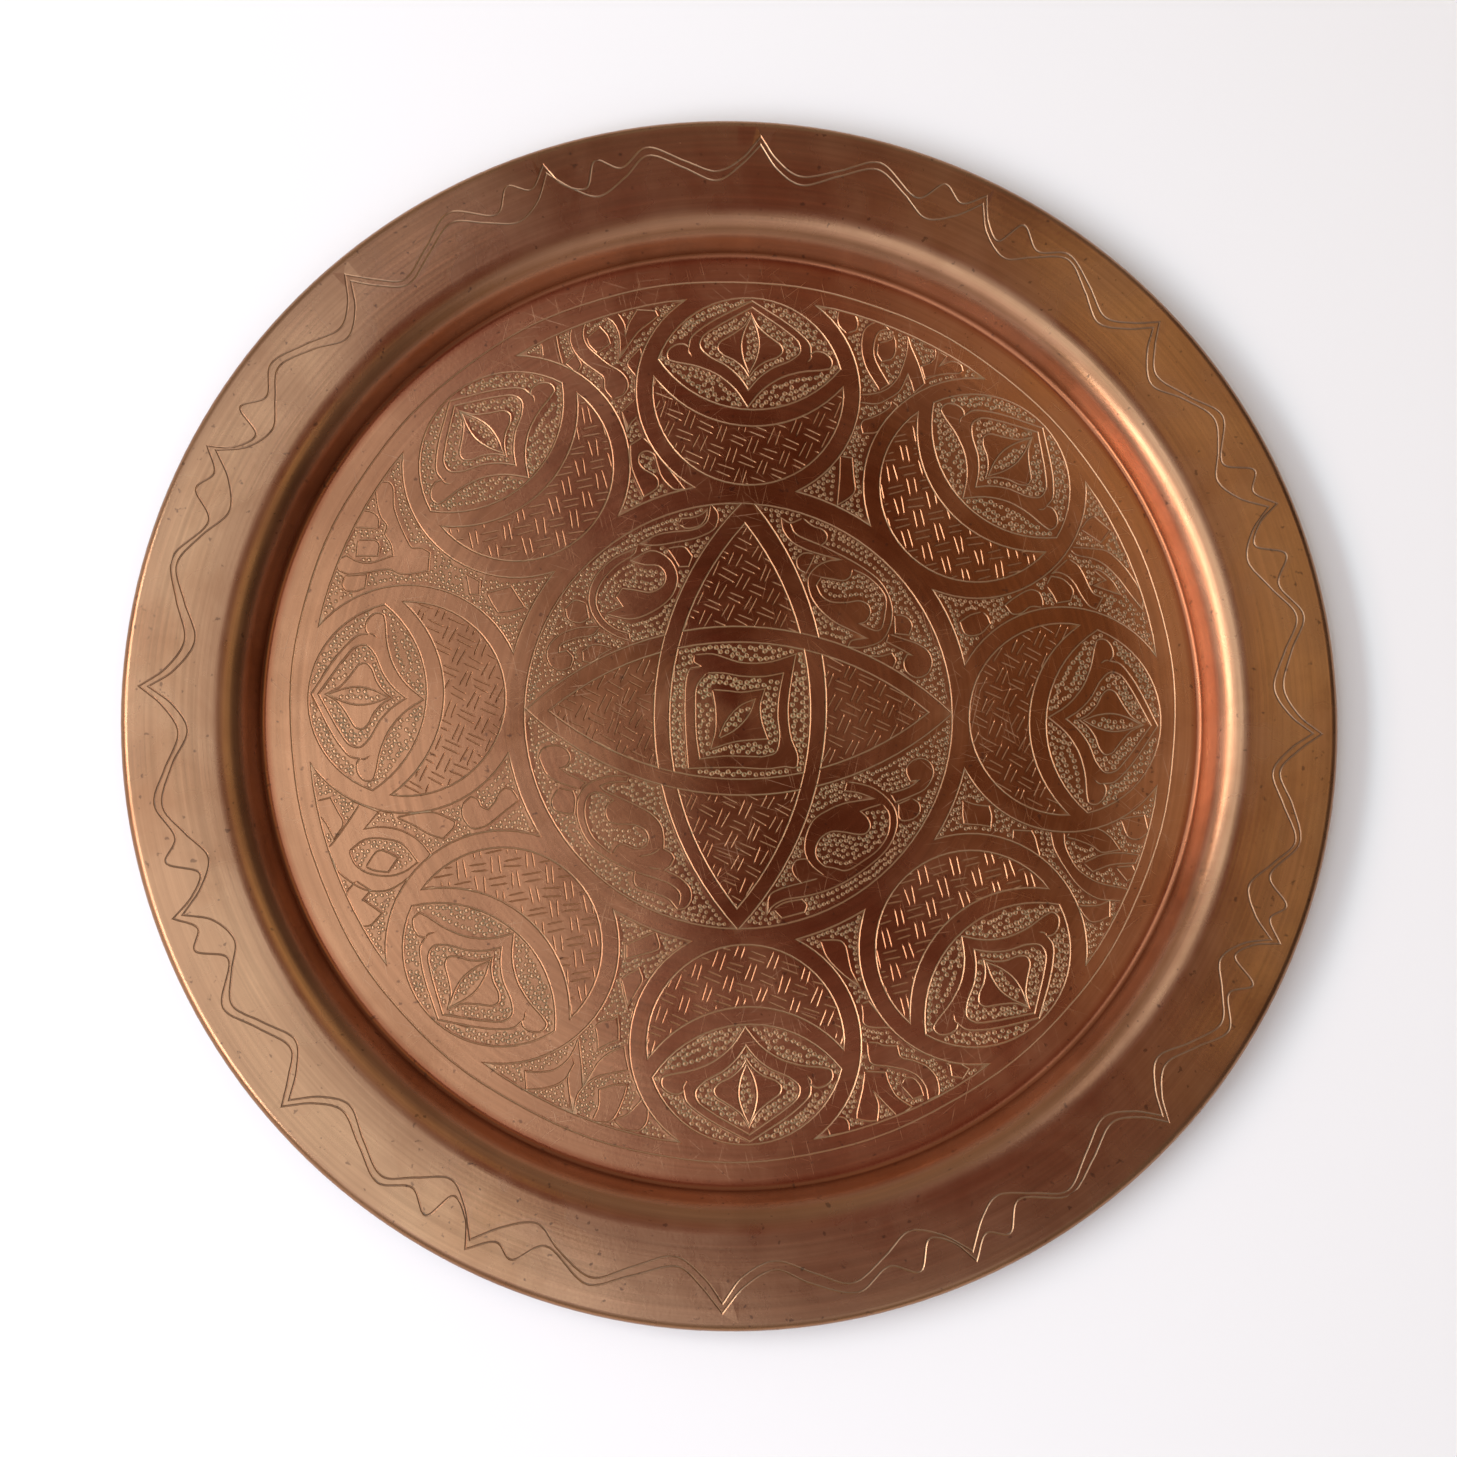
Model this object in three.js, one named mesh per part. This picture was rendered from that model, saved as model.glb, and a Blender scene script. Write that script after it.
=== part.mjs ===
// A round copper serving tray, built the way a coppersmith makes one: a single spun sheet with a
// flat floor, a short steep wall, a broad crowned brim and an edge rolled down and under, and the
// steel wire that the edge is rolled round to stiffen it.
// Millimetres, +Z up. The origin is the centre of the underside, where the tray rests.
import * as THREE from "three";

// Driving dimensions
const TRAY_RADIUS = 200; // to the outside of the rolled edge
const SHEET = 1; // thickness of the copper
const WIRE_RADIUS = 2;
const WIRE_CLEARANCE = 0.35; // between the wire and the inside of the roll
const WIRE_BUTT_GAP = 0.6; // between the two cut ends of the wire

// Shape of the section, on its upper face. A slope is in degrees above level, going outwards.
const FOOT_RADIUS = 2.5; // hollow curve where the floor turns up into the wall
const WALL_SLOPE = 62;
const WALL_LENGTH = 6;
const SHOULDER_RADIUS = 12; // rounded curve where the wall turns out into the brim
const BRIM_INNER_SLOPE = 2;
const BRIM_OUTER_SLOPE = -6;
const BRIM_RADIUS = 193; // of the brim's gentle crown
const ROLL_END_SLOPE = -258; // the roll goes right under the wire and turns up again

// Fineness
const TURNS_AROUND = 96;
const WIRE_SIDES = 12;
const FOOT_STEPS = 4;
const SHOULDER_STEPS = 6;
const BRIM_STEPS = 4; // one of them is at the crown, where the brim is level
const ROLL_STEPS = 12;

const ROLL_RADIUS = WIRE_RADIUS + WIRE_CLEARANCE + SHEET;
const UP_FROM_Y = Math.PI / 2; // turns a shape made round +Y so that it stands round +Z

const radians = THREE.MathUtils.degToRad;

// Horizontal distance that an arc covers between two slopes.
function reach(radius, fromSlope, toSlope) {
  return radius * Math.abs(Math.sin(radians(toSlope)) - Math.sin(radians(fromSlope)));
}

// Radius of the flat floor, which takes what the wall, the brim and the roll leave of the tray.
function floorRadius() {
  const foot = reach(FOOT_RADIUS, 0, WALL_SLOPE);
  const wall = WALL_LENGTH * Math.cos(radians(WALL_SLOPE));
  const shoulder = reach(SHOULDER_RADIUS, WALL_SLOPE, BRIM_INNER_SLOPE);
  const brim = reach(BRIM_RADIUS, BRIM_INNER_SLOPE, BRIM_OUTER_SLOPE);
  const roll = reach(ROLL_RADIUS, BRIM_OUTER_SLOPE, -90);
  return TRAY_RADIUS - foot - wall - shoulder - brim - roll;
}

// Walks outwards along the upper face of the sheet. Each stop holds its place in the section
// (x from the axis, y up) and the slope there, from which the lower face is found.
function upperFace() {
  const place = new THREE.Vector2(0, SHEET);
  const stops = [{ place: place.clone(), slope: 0 }];
  const straight = (length, slope) => {
    place.add(new THREE.Vector2(Math.cos(radians(slope)), Math.sin(radians(slope))).multiplyScalar(length));
    stops.push({ place: place.clone(), slope });
  };
  const curve = (radius, fromSlope, toSlope, steps) => {
    const side = Math.sign(toSlope - fromSlope); // +1 turns up, -1 turns down
    const centre = place.clone().add(normal(fromSlope).multiplyScalar(side * radius));
    for (let i = 1; i <= steps; i++) {
      const slope = THREE.MathUtils.lerp(fromSlope, toSlope, i / steps);
      place.copy(centre).sub(normal(slope).multiplyScalar(side * radius));
      stops.push({ place: place.clone(), slope });
    }
  };
  straight(floorRadius(), 0);
  curve(FOOT_RADIUS, 0, WALL_SLOPE, FOOT_STEPS);
  straight(WALL_LENGTH, WALL_SLOPE);
  curve(SHOULDER_RADIUS, WALL_SLOPE, BRIM_INNER_SLOPE, SHOULDER_STEPS);
  curve(BRIM_RADIUS, BRIM_INNER_SLOPE, BRIM_OUTER_SLOPE, BRIM_STEPS);
  curve(ROLL_RADIUS, BRIM_OUTER_SLOPE, ROLL_END_SLOPE, ROLL_STEPS);
  return stops;
}

// Unit vector out of the upper face at a slope.
function normal(slope) {
  return new THREE.Vector2(-Math.sin(radians(slope)), Math.cos(radians(slope)));
}

// Closed section of the sheet: out along the lower face and back along the upper one.
function sheetSection(stops) {
  const upper = stops.map(({ place }) => place);
  const lower = stops.map(({ place, slope }) => place.clone().sub(normal(slope).multiplyScalar(SHEET)));
  return [...lower, ...upper.reverse()];
}

function traySheet(stops) {
  const material = new THREE.MeshStandardMaterial({ color: 0xa8693f, roughness: 0.35, metalness: 1 });
  const geometry = new THREE.LatheGeometry(sheetSection(stops), TURNS_AROUND);
  geometry.rotateX(UP_FROM_Y);
  const mesh = new THREE.Mesh(geometry, material);
  mesh.name = "tray_sheet";
  return mesh;
}

// The wire's line: nearly a full circle, in the plane of the roll's centre.
class WireLine extends THREE.Curve {
  constructor(radius) {
    super();
    this.radius = radius;
    this.gapAngle = WIRE_BUTT_GAP / radius;
  }

  getPoint(t, target = new THREE.Vector3()) {
    const angle = this.gapAngle / 2 + t * (2 * Math.PI - this.gapAngle);
    return target.set(this.radius * Math.cos(angle), this.radius * Math.sin(angle), 0);
  }
}

function rimWire(stops) {
  const brimEnd = stops[stops.length - 1 - ROLL_STEPS];
  const centre = brimEnd.place.clone().sub(normal(BRIM_OUTER_SLOPE).multiplyScalar(ROLL_RADIUS));
  const section = new THREE.Shape(
    Array.from({ length: WIRE_SIDES }, (_, i) => {
      const angle = (i / WIRE_SIDES) * 2 * Math.PI;
      return new THREE.Vector2(Math.cos(angle), Math.sin(angle)).multiplyScalar(WIRE_RADIUS);
    }),
  );
  const material = new THREE.MeshStandardMaterial({ color: 0x6e6a66, roughness: 0.5, metalness: 1 });
  const geometry = new THREE.ExtrudeGeometry(section, {
    extrudePath: new WireLine(centre.x),
    steps: TURNS_AROUND,
  });
  const mesh = new THREE.Mesh(geometry, material);
  mesh.name = "rim_wire";
  mesh.position.z = centre.y;
  return mesh;
}

const tray = new THREE.Group();
const stops = upperFace();
tray.add(traySheet(stops), rimWire(stops));

export default tray;
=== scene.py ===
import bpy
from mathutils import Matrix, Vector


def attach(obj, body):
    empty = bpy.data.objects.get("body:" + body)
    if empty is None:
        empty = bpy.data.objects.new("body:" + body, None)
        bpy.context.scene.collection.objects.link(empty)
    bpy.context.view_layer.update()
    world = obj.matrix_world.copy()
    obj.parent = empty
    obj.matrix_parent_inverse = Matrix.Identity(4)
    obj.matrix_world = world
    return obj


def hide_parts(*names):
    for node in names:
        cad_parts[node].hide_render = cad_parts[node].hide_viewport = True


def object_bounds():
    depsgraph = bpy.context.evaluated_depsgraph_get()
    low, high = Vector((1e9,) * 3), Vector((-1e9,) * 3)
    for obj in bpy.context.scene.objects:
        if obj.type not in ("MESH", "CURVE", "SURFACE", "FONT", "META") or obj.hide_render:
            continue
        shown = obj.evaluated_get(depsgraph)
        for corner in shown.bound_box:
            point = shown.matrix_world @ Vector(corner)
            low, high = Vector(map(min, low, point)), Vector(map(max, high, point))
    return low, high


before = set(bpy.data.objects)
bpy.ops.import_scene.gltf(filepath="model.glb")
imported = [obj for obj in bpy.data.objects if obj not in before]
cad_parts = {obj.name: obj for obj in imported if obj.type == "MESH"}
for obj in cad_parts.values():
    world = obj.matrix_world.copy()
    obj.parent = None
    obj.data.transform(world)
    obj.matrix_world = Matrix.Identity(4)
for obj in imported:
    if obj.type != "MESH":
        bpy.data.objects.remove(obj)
CAD_BOX = [list(corner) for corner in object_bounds()]

from cmath import phase
from math import ceil, cos, degrees, floor, pi, radians, sin, sqrt, tan
from random import Random

import bpy
import numpy as np
from mathutils import Matrix, Vector
from mathutils.geometry import delaunay_2d_cdt

# A round copper tray: one spun sheet, chased by hand over its floor and brim, with its edge rolled
# under round a steel wire. The frame is in metres; everything here is worked out in millimetres
# and scaled once, when a mesh is made.
MM = 0.001

# The section of the sheet, on its upper face, walked from the axis outwards. A slope is in degrees
# above level. These are the CAD model's own numbers.
TRAY_RADIUS = (CAD_BOX[1][0] - CAD_BOX[0][0]) / 2 / MM
SHEET = 1.0
WIRE_RADIUS = 2.0
WIRE_CLEARANCE = 0.35
WIRE_BUTT_GAP = 0.6
FOOT_RADIUS = 2.5
WALL_SLOPE = 62.0
WALL_LENGTH = 6.0
SHOULDER_RADIUS = 12.0
BRIM_INNER_SLOPE = 2.0
BRIM_OUTER_SLOPE = -6.0
BRIM_RADIUS = 193.0
ROLL_END_SLOPE = -258.0
ROLL_RADIUS = WIRE_RADIUS + WIRE_CLEARANCE + SHEET
SIDES = 192  # round the tray
SKIN = 0.01  # everything is made this much smaller than the CAD model, so that it stays in its box

# ---------------------------------------------------------------------------------------------
# The chased pattern, in millimetres on the plan of the tray. A point is a complex number, x + yj.
# An outline is a closed list of points, and a stroke an open one.

SHARP = 58  # a drawn outline keeps a corner where it turns by more than this many degrees
SAG = 0.05  # how far a straight step of a chased line may stray from its curve
CURVE_STEPS = 10  # tried between two points of a smooth line, before it is thinned
TINY = 1e-9  # stands in for nought where a number is divided by
PATTERN_CENTRE = 1.0 - 0.5j  # the pattern was laid out a little off the tray's own centre
BORDER_RADIUS = 147.4
FIELD_RADIUS = 142.3  # outer edge of the gaps between the medallions
HUB_RADIUS = 77.5  # inner edge of those gaps
DISC_RADIUS = 71.3
MEDALLIONS = 8
MEDALLION_RING = 110.0  # from the pattern's centre to a medallion's
MEDALLION_OUTER = 38.0
MEDALLION_INNER = 32.4
# How far the maker's hand set each medallion from its true place, outwards and to its left, how far
# it turned its palmette, and which way it laid its basket weave
MEDALLION_SLIPS = [
    (-0.5, -3.1, -2.4, -22), (1.0, -2.1, -3.2, 12), (-0.6, -1.6, -4.2, -27), (0.0, -0.6, -1.6, 15),
    (-0.6, 2.0, 2.4, -20), (-0.3, 0.0, 4.2, 8), (-0.1, -4.0, -2.6, -25), (1.4, -5.6, 0.8, 12),
]


def unit(angle):
    return complex(cos(radians(angle)), sin(radians(angle)))


def arc(centre, radius, start, end):
    """Points on an arc between two angles in degrees."""
    length = radius * abs(radians(end - start))
    steps = max(2, ceil(length / sqrt(8 * radius * SAG)))
    return [centre + radius * unit(start + (end - start) * i / steps) for i in range(steps + 1)]


def arc_between(circle, start, end):
    """The short way round a circle from one point on it to another."""
    centre, radius = circle
    a, b = (degrees(phase(p - centre)) for p in (start, end))
    return arc(centre, radius, a, a + (b - a + 180) % 360 - 180)


def meet(circle_a, circle_b, near):
    """Where two circles cross, nearest to a point."""
    (a, ra), (b, rb) = circle_a, circle_b
    gap = abs(b - a)
    along = (ra * ra - rb * rb + gap * gap) / (2 * gap)
    aside = sqrt(max(0.0, ra * ra - along * along))
    ways = [a + (b - a) / gap * complex(along, side) for side in (aside, -aside)]
    return min(ways, key=lambda p: abs(p - near))


def thinned(points):
    """The same line without the points that its shape doesn't need."""
    if len(points) < 3:
        return points
    start, end = points[0], points[-1]
    base = (end - start) or TINY
    if abs(base) > 1e-6:
        strays = [abs(((p - start) * base.conjugate()).imag) / abs(base) for p in points]
    else:
        strays = [abs(p - start) for p in points]
    worst = max(range(len(points)), key=lambda i: strays[i])
    if strays[worst] < SAG:
        return [start, end]
    return thinned(points[: worst + 1])[:-1] + thinned(points[worst:])


def smooth(points, is_closed=False):
    """A smooth line through the points (a centripetal Catmull-Rom curve)."""
    if is_closed:
        ends = [points[-1], *points, points[0], points[1]]
    else:
        ends = [2 * points[0] - points[1], *points, 2 * points[-1] - points[-2]]
    line = []
    for p0, p1, p2, p3 in zip(ends, ends[1:], ends[2:], ends[3:]):
        t1 = abs(p1 - p0) ** 0.5
        t2 = t1 + abs(p2 - p1) ** 0.5
        t3 = t2 + abs(p3 - p2) ** 0.5
        for i in range(CURVE_STEPS):
            t = t1 + (t2 - t1) * i / CURVE_STEPS
            a1 = p0 + (p1 - p0) * t / t1
            a2 = p1 + (p2 - p1) * (t - t1) / (t2 - t1)
            a3 = p2 + (p3 - p2) * (t - t2) / (t3 - t2)
            b1 = a1 + (a2 - a1) * t / t2
            b2 = a2 + (a3 - a2) * (t - t1) / (t3 - t1)
            line.append(b1 + (b2 - b1) * (t - t1) / (t2 - t1))
    line.append(points[0] if is_closed else points[-1])
    return thinned(line)


def drawn(points):
    """A closed outline through the points, smooth but for those where it turns sharply."""
    count = len(points)
    steps = [points[(i + 1) % count] - p for i, p in enumerate(points)]
    corners = [i for i in range(count) if abs(phase(steps[i] / steps[i - 1])) > radians(SHARP)]
    if not corners:
        return smooth(points, is_closed=True)[:-1]
    ends = corners[1:] + [corners[0] + count]
    return joined(*(smooth([points[i % count] for i in range(a, b + 1)]) for a, b in zip(corners, ends)))


def joined(*lines):
    """One closed outline out of lines that follow each other round it, with a corner at each join."""
    return [p for line in lines for p in line[:-1]]


def mirrored(points):
    return [-p.conjugate() for p in points]


def both_sides(half):
    """A closed outline from its right half, listed from its top to its bottom on the axis."""
    return joined(half, mirrored(half)[::-1])


def at(*pairs):
    """Points out of x, y pairs."""
    return [complex(x, y) for x, y in pairs]


# The palmette of a medallion, in the medallion's own frame: the middle of its circles is 0, and
# +Y points outwards. The lists run down the right half of an outline, and the heart's takes three.
LENS_TIP = complex(31.0, 9.4)
CRESCENT_TIP = complex(32.2, 3.4)
LENS_RADIUS = 38.3
CRESCENT_RADIUS = 41.2
HEART_TOP = at((0, 31.4), (5, 28.6), (10.5, 25.4), (16, 21.6), (20.2, 17.4), (20.8, 14.2))
HEART_EAR = at((20.8, 14.2), (22.6, 15.1), (25.6, 14.5), (27.9, 12.2), (27.6, 9.6), (24.5, 8.6))
HEART_FOOT = at((24.5, 8.6), (17.5, 7.6), (10.5, 5.0), (4.5, 0.4), (0, -5.6))
EAR_HOOK = at((20.8, 14.2), (20.9, 12.8), (19.6, 11.0))
INNER_HEART = at((0, 29.2), (6, 25.4), (12, 21.6), (16.4, 17.8), (17.0, 14.6), (14.2, 11.6), (7.8, 8.4),
                 (3.2, 4.6), (0, 0.4))
DIAMOND = at((0, 26.8), (2.4, 22.6), (6.2, 19.4), (10.4, 16.4), (11.0, 14.2), (9.2, 12.2), (5.2, 10.4),
             (2.0, 7.8), (0, 4.8))
LEAF = at((0, 26.0), (2.2, 20.8), (3.0, 16.2), (2.2, 11.2), (0, 6.2))

# The plain scrolls in the corners of the disc, about its middle. The key says which corner: left (-1)
# or right (1), then lower or upper
SCROLLS = {
    (-1, 1): [
        at((-36.4, 24.2), (-42, 26.2), (-47.4, 30.4), (-50.3, 37.4), (-48.8, 44.6), (-43.2, 51.2),
           (-34.4, 55.8), (-35.2, 53.8), (-41.6, 49.2), (-46.4, 43.4), (-48.0, 37.6), (-45.8, 32),
           (-41.4, 28.2), (-36.8, 26.6)),
        at((-44.6, 33.2), (-36, 31.6), (-28.2, 34.6), (-22.4, 39.8), (-20.8, 46), (-23.2, 51.6),
           (-29, 54.8), (-36.6, 51.4), (-31.8, 50), (-27, 49.6), (-24.7, 46.6), (-25.6, 43), (-29.6, 40.7),
           (-35, 41.4), (-39.2, 41.9), (-41.2, 39), (-39, 35.8)),
        at((-9.6, 71), (-7.2, 67.4), (-8.2, 62.8), (-13, 59.8), (-22, 57.6), (-29, 56.6), (-33.6, 57.2),
           (-27, 60.4), (-21.4, 61.4), (-15, 62.2), (-11, 64.8)),
        at((-20.4, 64), (-18, 62.6), (-13.2, 63.6), (-11.2, 66.4), (-10.6, 69.4), (-12.6, 67.4),
           (-16, 66.2), (-19.6, 65.8)),
        at((-24.2, 55.6), (-18.6, 56.2), (-15.8, 53), (-17, 49.6), (-20.2, 49.4), (-21.8, 52.2)),
        at((-51.2, 36.8), (-54.8, 37.8), (-58, 35), (-57, 31.4), (-53, 30.2), (-50.2, 31.8)),
        at((-46.4, 29), (-54.8, 28.2), (-61, 25.2), (-64, 20.4), (-62.9, 16), (-59.8, 14.2), (-56.2, 15.2),
           (-55.4, 18.4), (-57.4, 20.8), (-60, 20.2), (-59.6, 22.6), (-54.6, 25), (-48.8, 26.2)),
        at((-42, 21.8), (-48.6, 22.9), (-52.2, 20.6), (-52, 17.4), (-49.2, 16.9), (-46.4, 19.2)),
    ],
    (1, 1): [
        at((17.1, 64.8), (21.5, 66.5), (24.7, 63.9), (28.2, 62.5), (29.6, 60.7), (29.1, 58.4), (27.6, 57.2),
           (36.5, 52.8), (42.9, 48.9), (47.6, 44.8), (50.6, 39.5), (51.5, 34.8), (50.6, 29.5), (47.6, 24.8),
           (40.6, 22.5), (36.5, 22.8), (37.6, 24.8), (43.2, 25.7), (36.5, 28.9), (31.8, 31.3), (26.5, 36),
           (23.8, 40.7), (23.2, 46), (25.9, 49.8), (30, 51.9), (34.7, 52.4), (28.2, 53.9), (21.8, 56),
           (17.1, 58.9), (14.7, 62.5), (14.1, 66.6)),
        at((38.1, 49.2), (42.9, 46.9), (47.1, 43.1), (49.3, 39.5), (49.1, 34.2), (47.6, 28.9), (45.9, 28.3),
           (40.2, 30.7), (42.4, 31.3), (44.1, 34.2), (43.5, 36.9), (40.6, 38.4), (35.9, 37.8), (30.6, 38.1),
           (27.6, 40.1), (25.9, 43.6), (27.6, 46.3), (31.8, 45.7), (35.3, 45.3), (37.4, 46.6)),
        at((25.6, 54.2), (21.8, 54.5), (19.4, 52.5), (19.7, 49.5), (22.4, 47.6), (23.6, 49.8)),
        at((52.2, 33.6), (54.7, 33.6), (57.1, 32.2), (58.1, 30.1), (57.1, 26.9), (52.4, 27.4)),
        at((50.4, 27.2), (54.7, 25.7), (60, 23.9), (63.5, 21.3), (64.7, 17.8), (63.2, 13.9), (59.4, 12.5),
           (55.9, 14.8), (55.2, 17.8), (56.5, 20.4), (58.5, 20), (54.7, 21.9), (49.4, 24.6)),
        at((43, 20), (47, 19.6), (51.2, 20.7), (52.5, 18.4), (51.5, 15.6)),
    ],
    (1, -1): [
        at((35.9, -22.6), (39.4, -23.1), (44.1, -24.4), (48.2, -27.1), (51.5, -31.2), (52.5, -35.9),
           (51.2, -41.2), (48.2, -45.9), (42.9, -50.6), (36.5, -55), (29.4, -58.5), (21.8, -60.6),
           (14.7, -61.8), (10.6, -64.2), (9, -67), (10, -60.3), (13.5, -58.2), (20.6, -56.2), (18.2, -53.8),
           (17.4, -51.2), (18.8, -48.8), (22.4, -48.2), (21.6, -45.3), (22.1, -40.6), (24.7, -35.3),
           (30, -31.8), (35.3, -29.7), (41.2, -28.8), (45.4, -28.2), (39.4, -26.2), (35, -25.6)),
        at((47.6, -29.9), (49.7, -32.9), (50, -36.5), (49.1, -40.6), (45.9, -45.3), (41.2, -48.8),
           (35.3, -52.1), (31.2, -51.2), (28.2, -50.6), (25.6, -47.9), (25.3, -44.7), (27.1, -41.2),
           (30.6, -39.2), (35.3, -39.4), (39.4, -40.1), (42.1, -39.7), (43.5, -37.4), (42.6, -34.7),
           (40.3, -32.4), (43.4, -31.2)),
        at((11.2, -64.8), (14.7, -62.8), (20.6, -61.6), (22.2, -63.5), (21.5, -65.8), (14, -67.8)),
        at((57.4, -28), (59.8, -29.7), (60.1, -32.4), (58.2, -34.7), (54.4, -35.5), (53.2, -34.6),
           (53, -30)),
        at((50.2, -26.4), (56.5, -24.4), (60.2, -21.8), (57.1, -22.4), (55.9, -20), (55.9, -17.6),
           (58.2, -15.3), (61.2, -14.7), (63.5, -15.9), (64.8, -18.8), (64.1, -21.8), (61.8, -25),
           (57.1, -27.4), (52, -29.4)),
    ],
    (-1, -1): [
        at((-36.6, -21.2), (-41.3, -20.9), (-46, -21.8), (-50.1, -23.8), (-53.1, -28.2), (-53.6, -33.5),
           (-51.9, -39.4), (-48.4, -44.7), (-42.5, -48.8), (-34.4, -52.6), (-34.8, -55), (-33.9, -57.4),
           (-28.4, -59.4), (-23.1, -61.8), (-20.4, -65), (-17.8, -64.4), (-16, -61.8), (-16.3, -58.2),
           (-19.5, -54.7), (-24.8, -52), (-22.8, -50.6), (-21.5, -48.2), (-22.5, -46.5), (-25, -45),
           (-25, -41.2), (-26, -37.1), (-29.5, -33.2), (-34.2, -30.6), (-39.5, -28.2), (-44.8, -25.6),
           (-46, -24.4), (-43.1, -23.2), (-37.2, -22.8)),
        at((-46.5, -26.4), (-49.5, -27.2), (-51, -30.6), (-50.7, -35.9), (-48.4, -41.2), (-44.8, -44.7),
           (-41.9, -46.8), (-40.1, -44.1), (-38.4, -43.5), (-34.2, -45), (-31, -44.1), (-30, -41.5),
           (-31.3, -38.8), (-34.8, -37.1), (-40.7, -36.8), (-43.1, -35.9), (-44.2, -32.6), (-43.4, -30.3),
           (-41.5, -29)),
        at((-66.2, -14.7), (-65.4, -17.1), (-63.6, -20.6), (-60.1, -22.9), (-52.8, -25.4), (-50.6, -23.2),
           (-56.6, -20.3), (-59.2, -18.4), (-56.9, -17.4), (-56, -15), (-57.2, -12.4), (-60.1, -10.9),
           (-64.8, -11.8)),
        at((-59.5, -25), (-61.3, -27.6), (-61.9, -30), (-60.7, -32.4), (-56.6, -33.5), (-54.6, -33.4),
           (-54.2, -28.5), (-55, -26)),
    ],
}
# and the lines that are cut into them
SCROLL_VEINS = {
    (1, 1): [
        at((17.1, 64.8), (18.8, 61.3), (27.6, 57.2)),
    ],
    (1, -1): [
        at((22.4, -48.2), (24.1, -50.6), (28.2, -53.8)),
        at((26.2, -54.7), (20.6, -56.2)),
    ],
    (-1, -1): [
        at((-26, -44.7), (-28.4, -46.5), (-33.1, -47.6)),
        at((-30.1, -51.2), (-25.5, -51.8)),
        at((-34.4, -52.6), (-27.8, -54.7), (-22.5, -56.8), (-19.5, -60), (-20.1, -64.1)),
    ],
}

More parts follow.
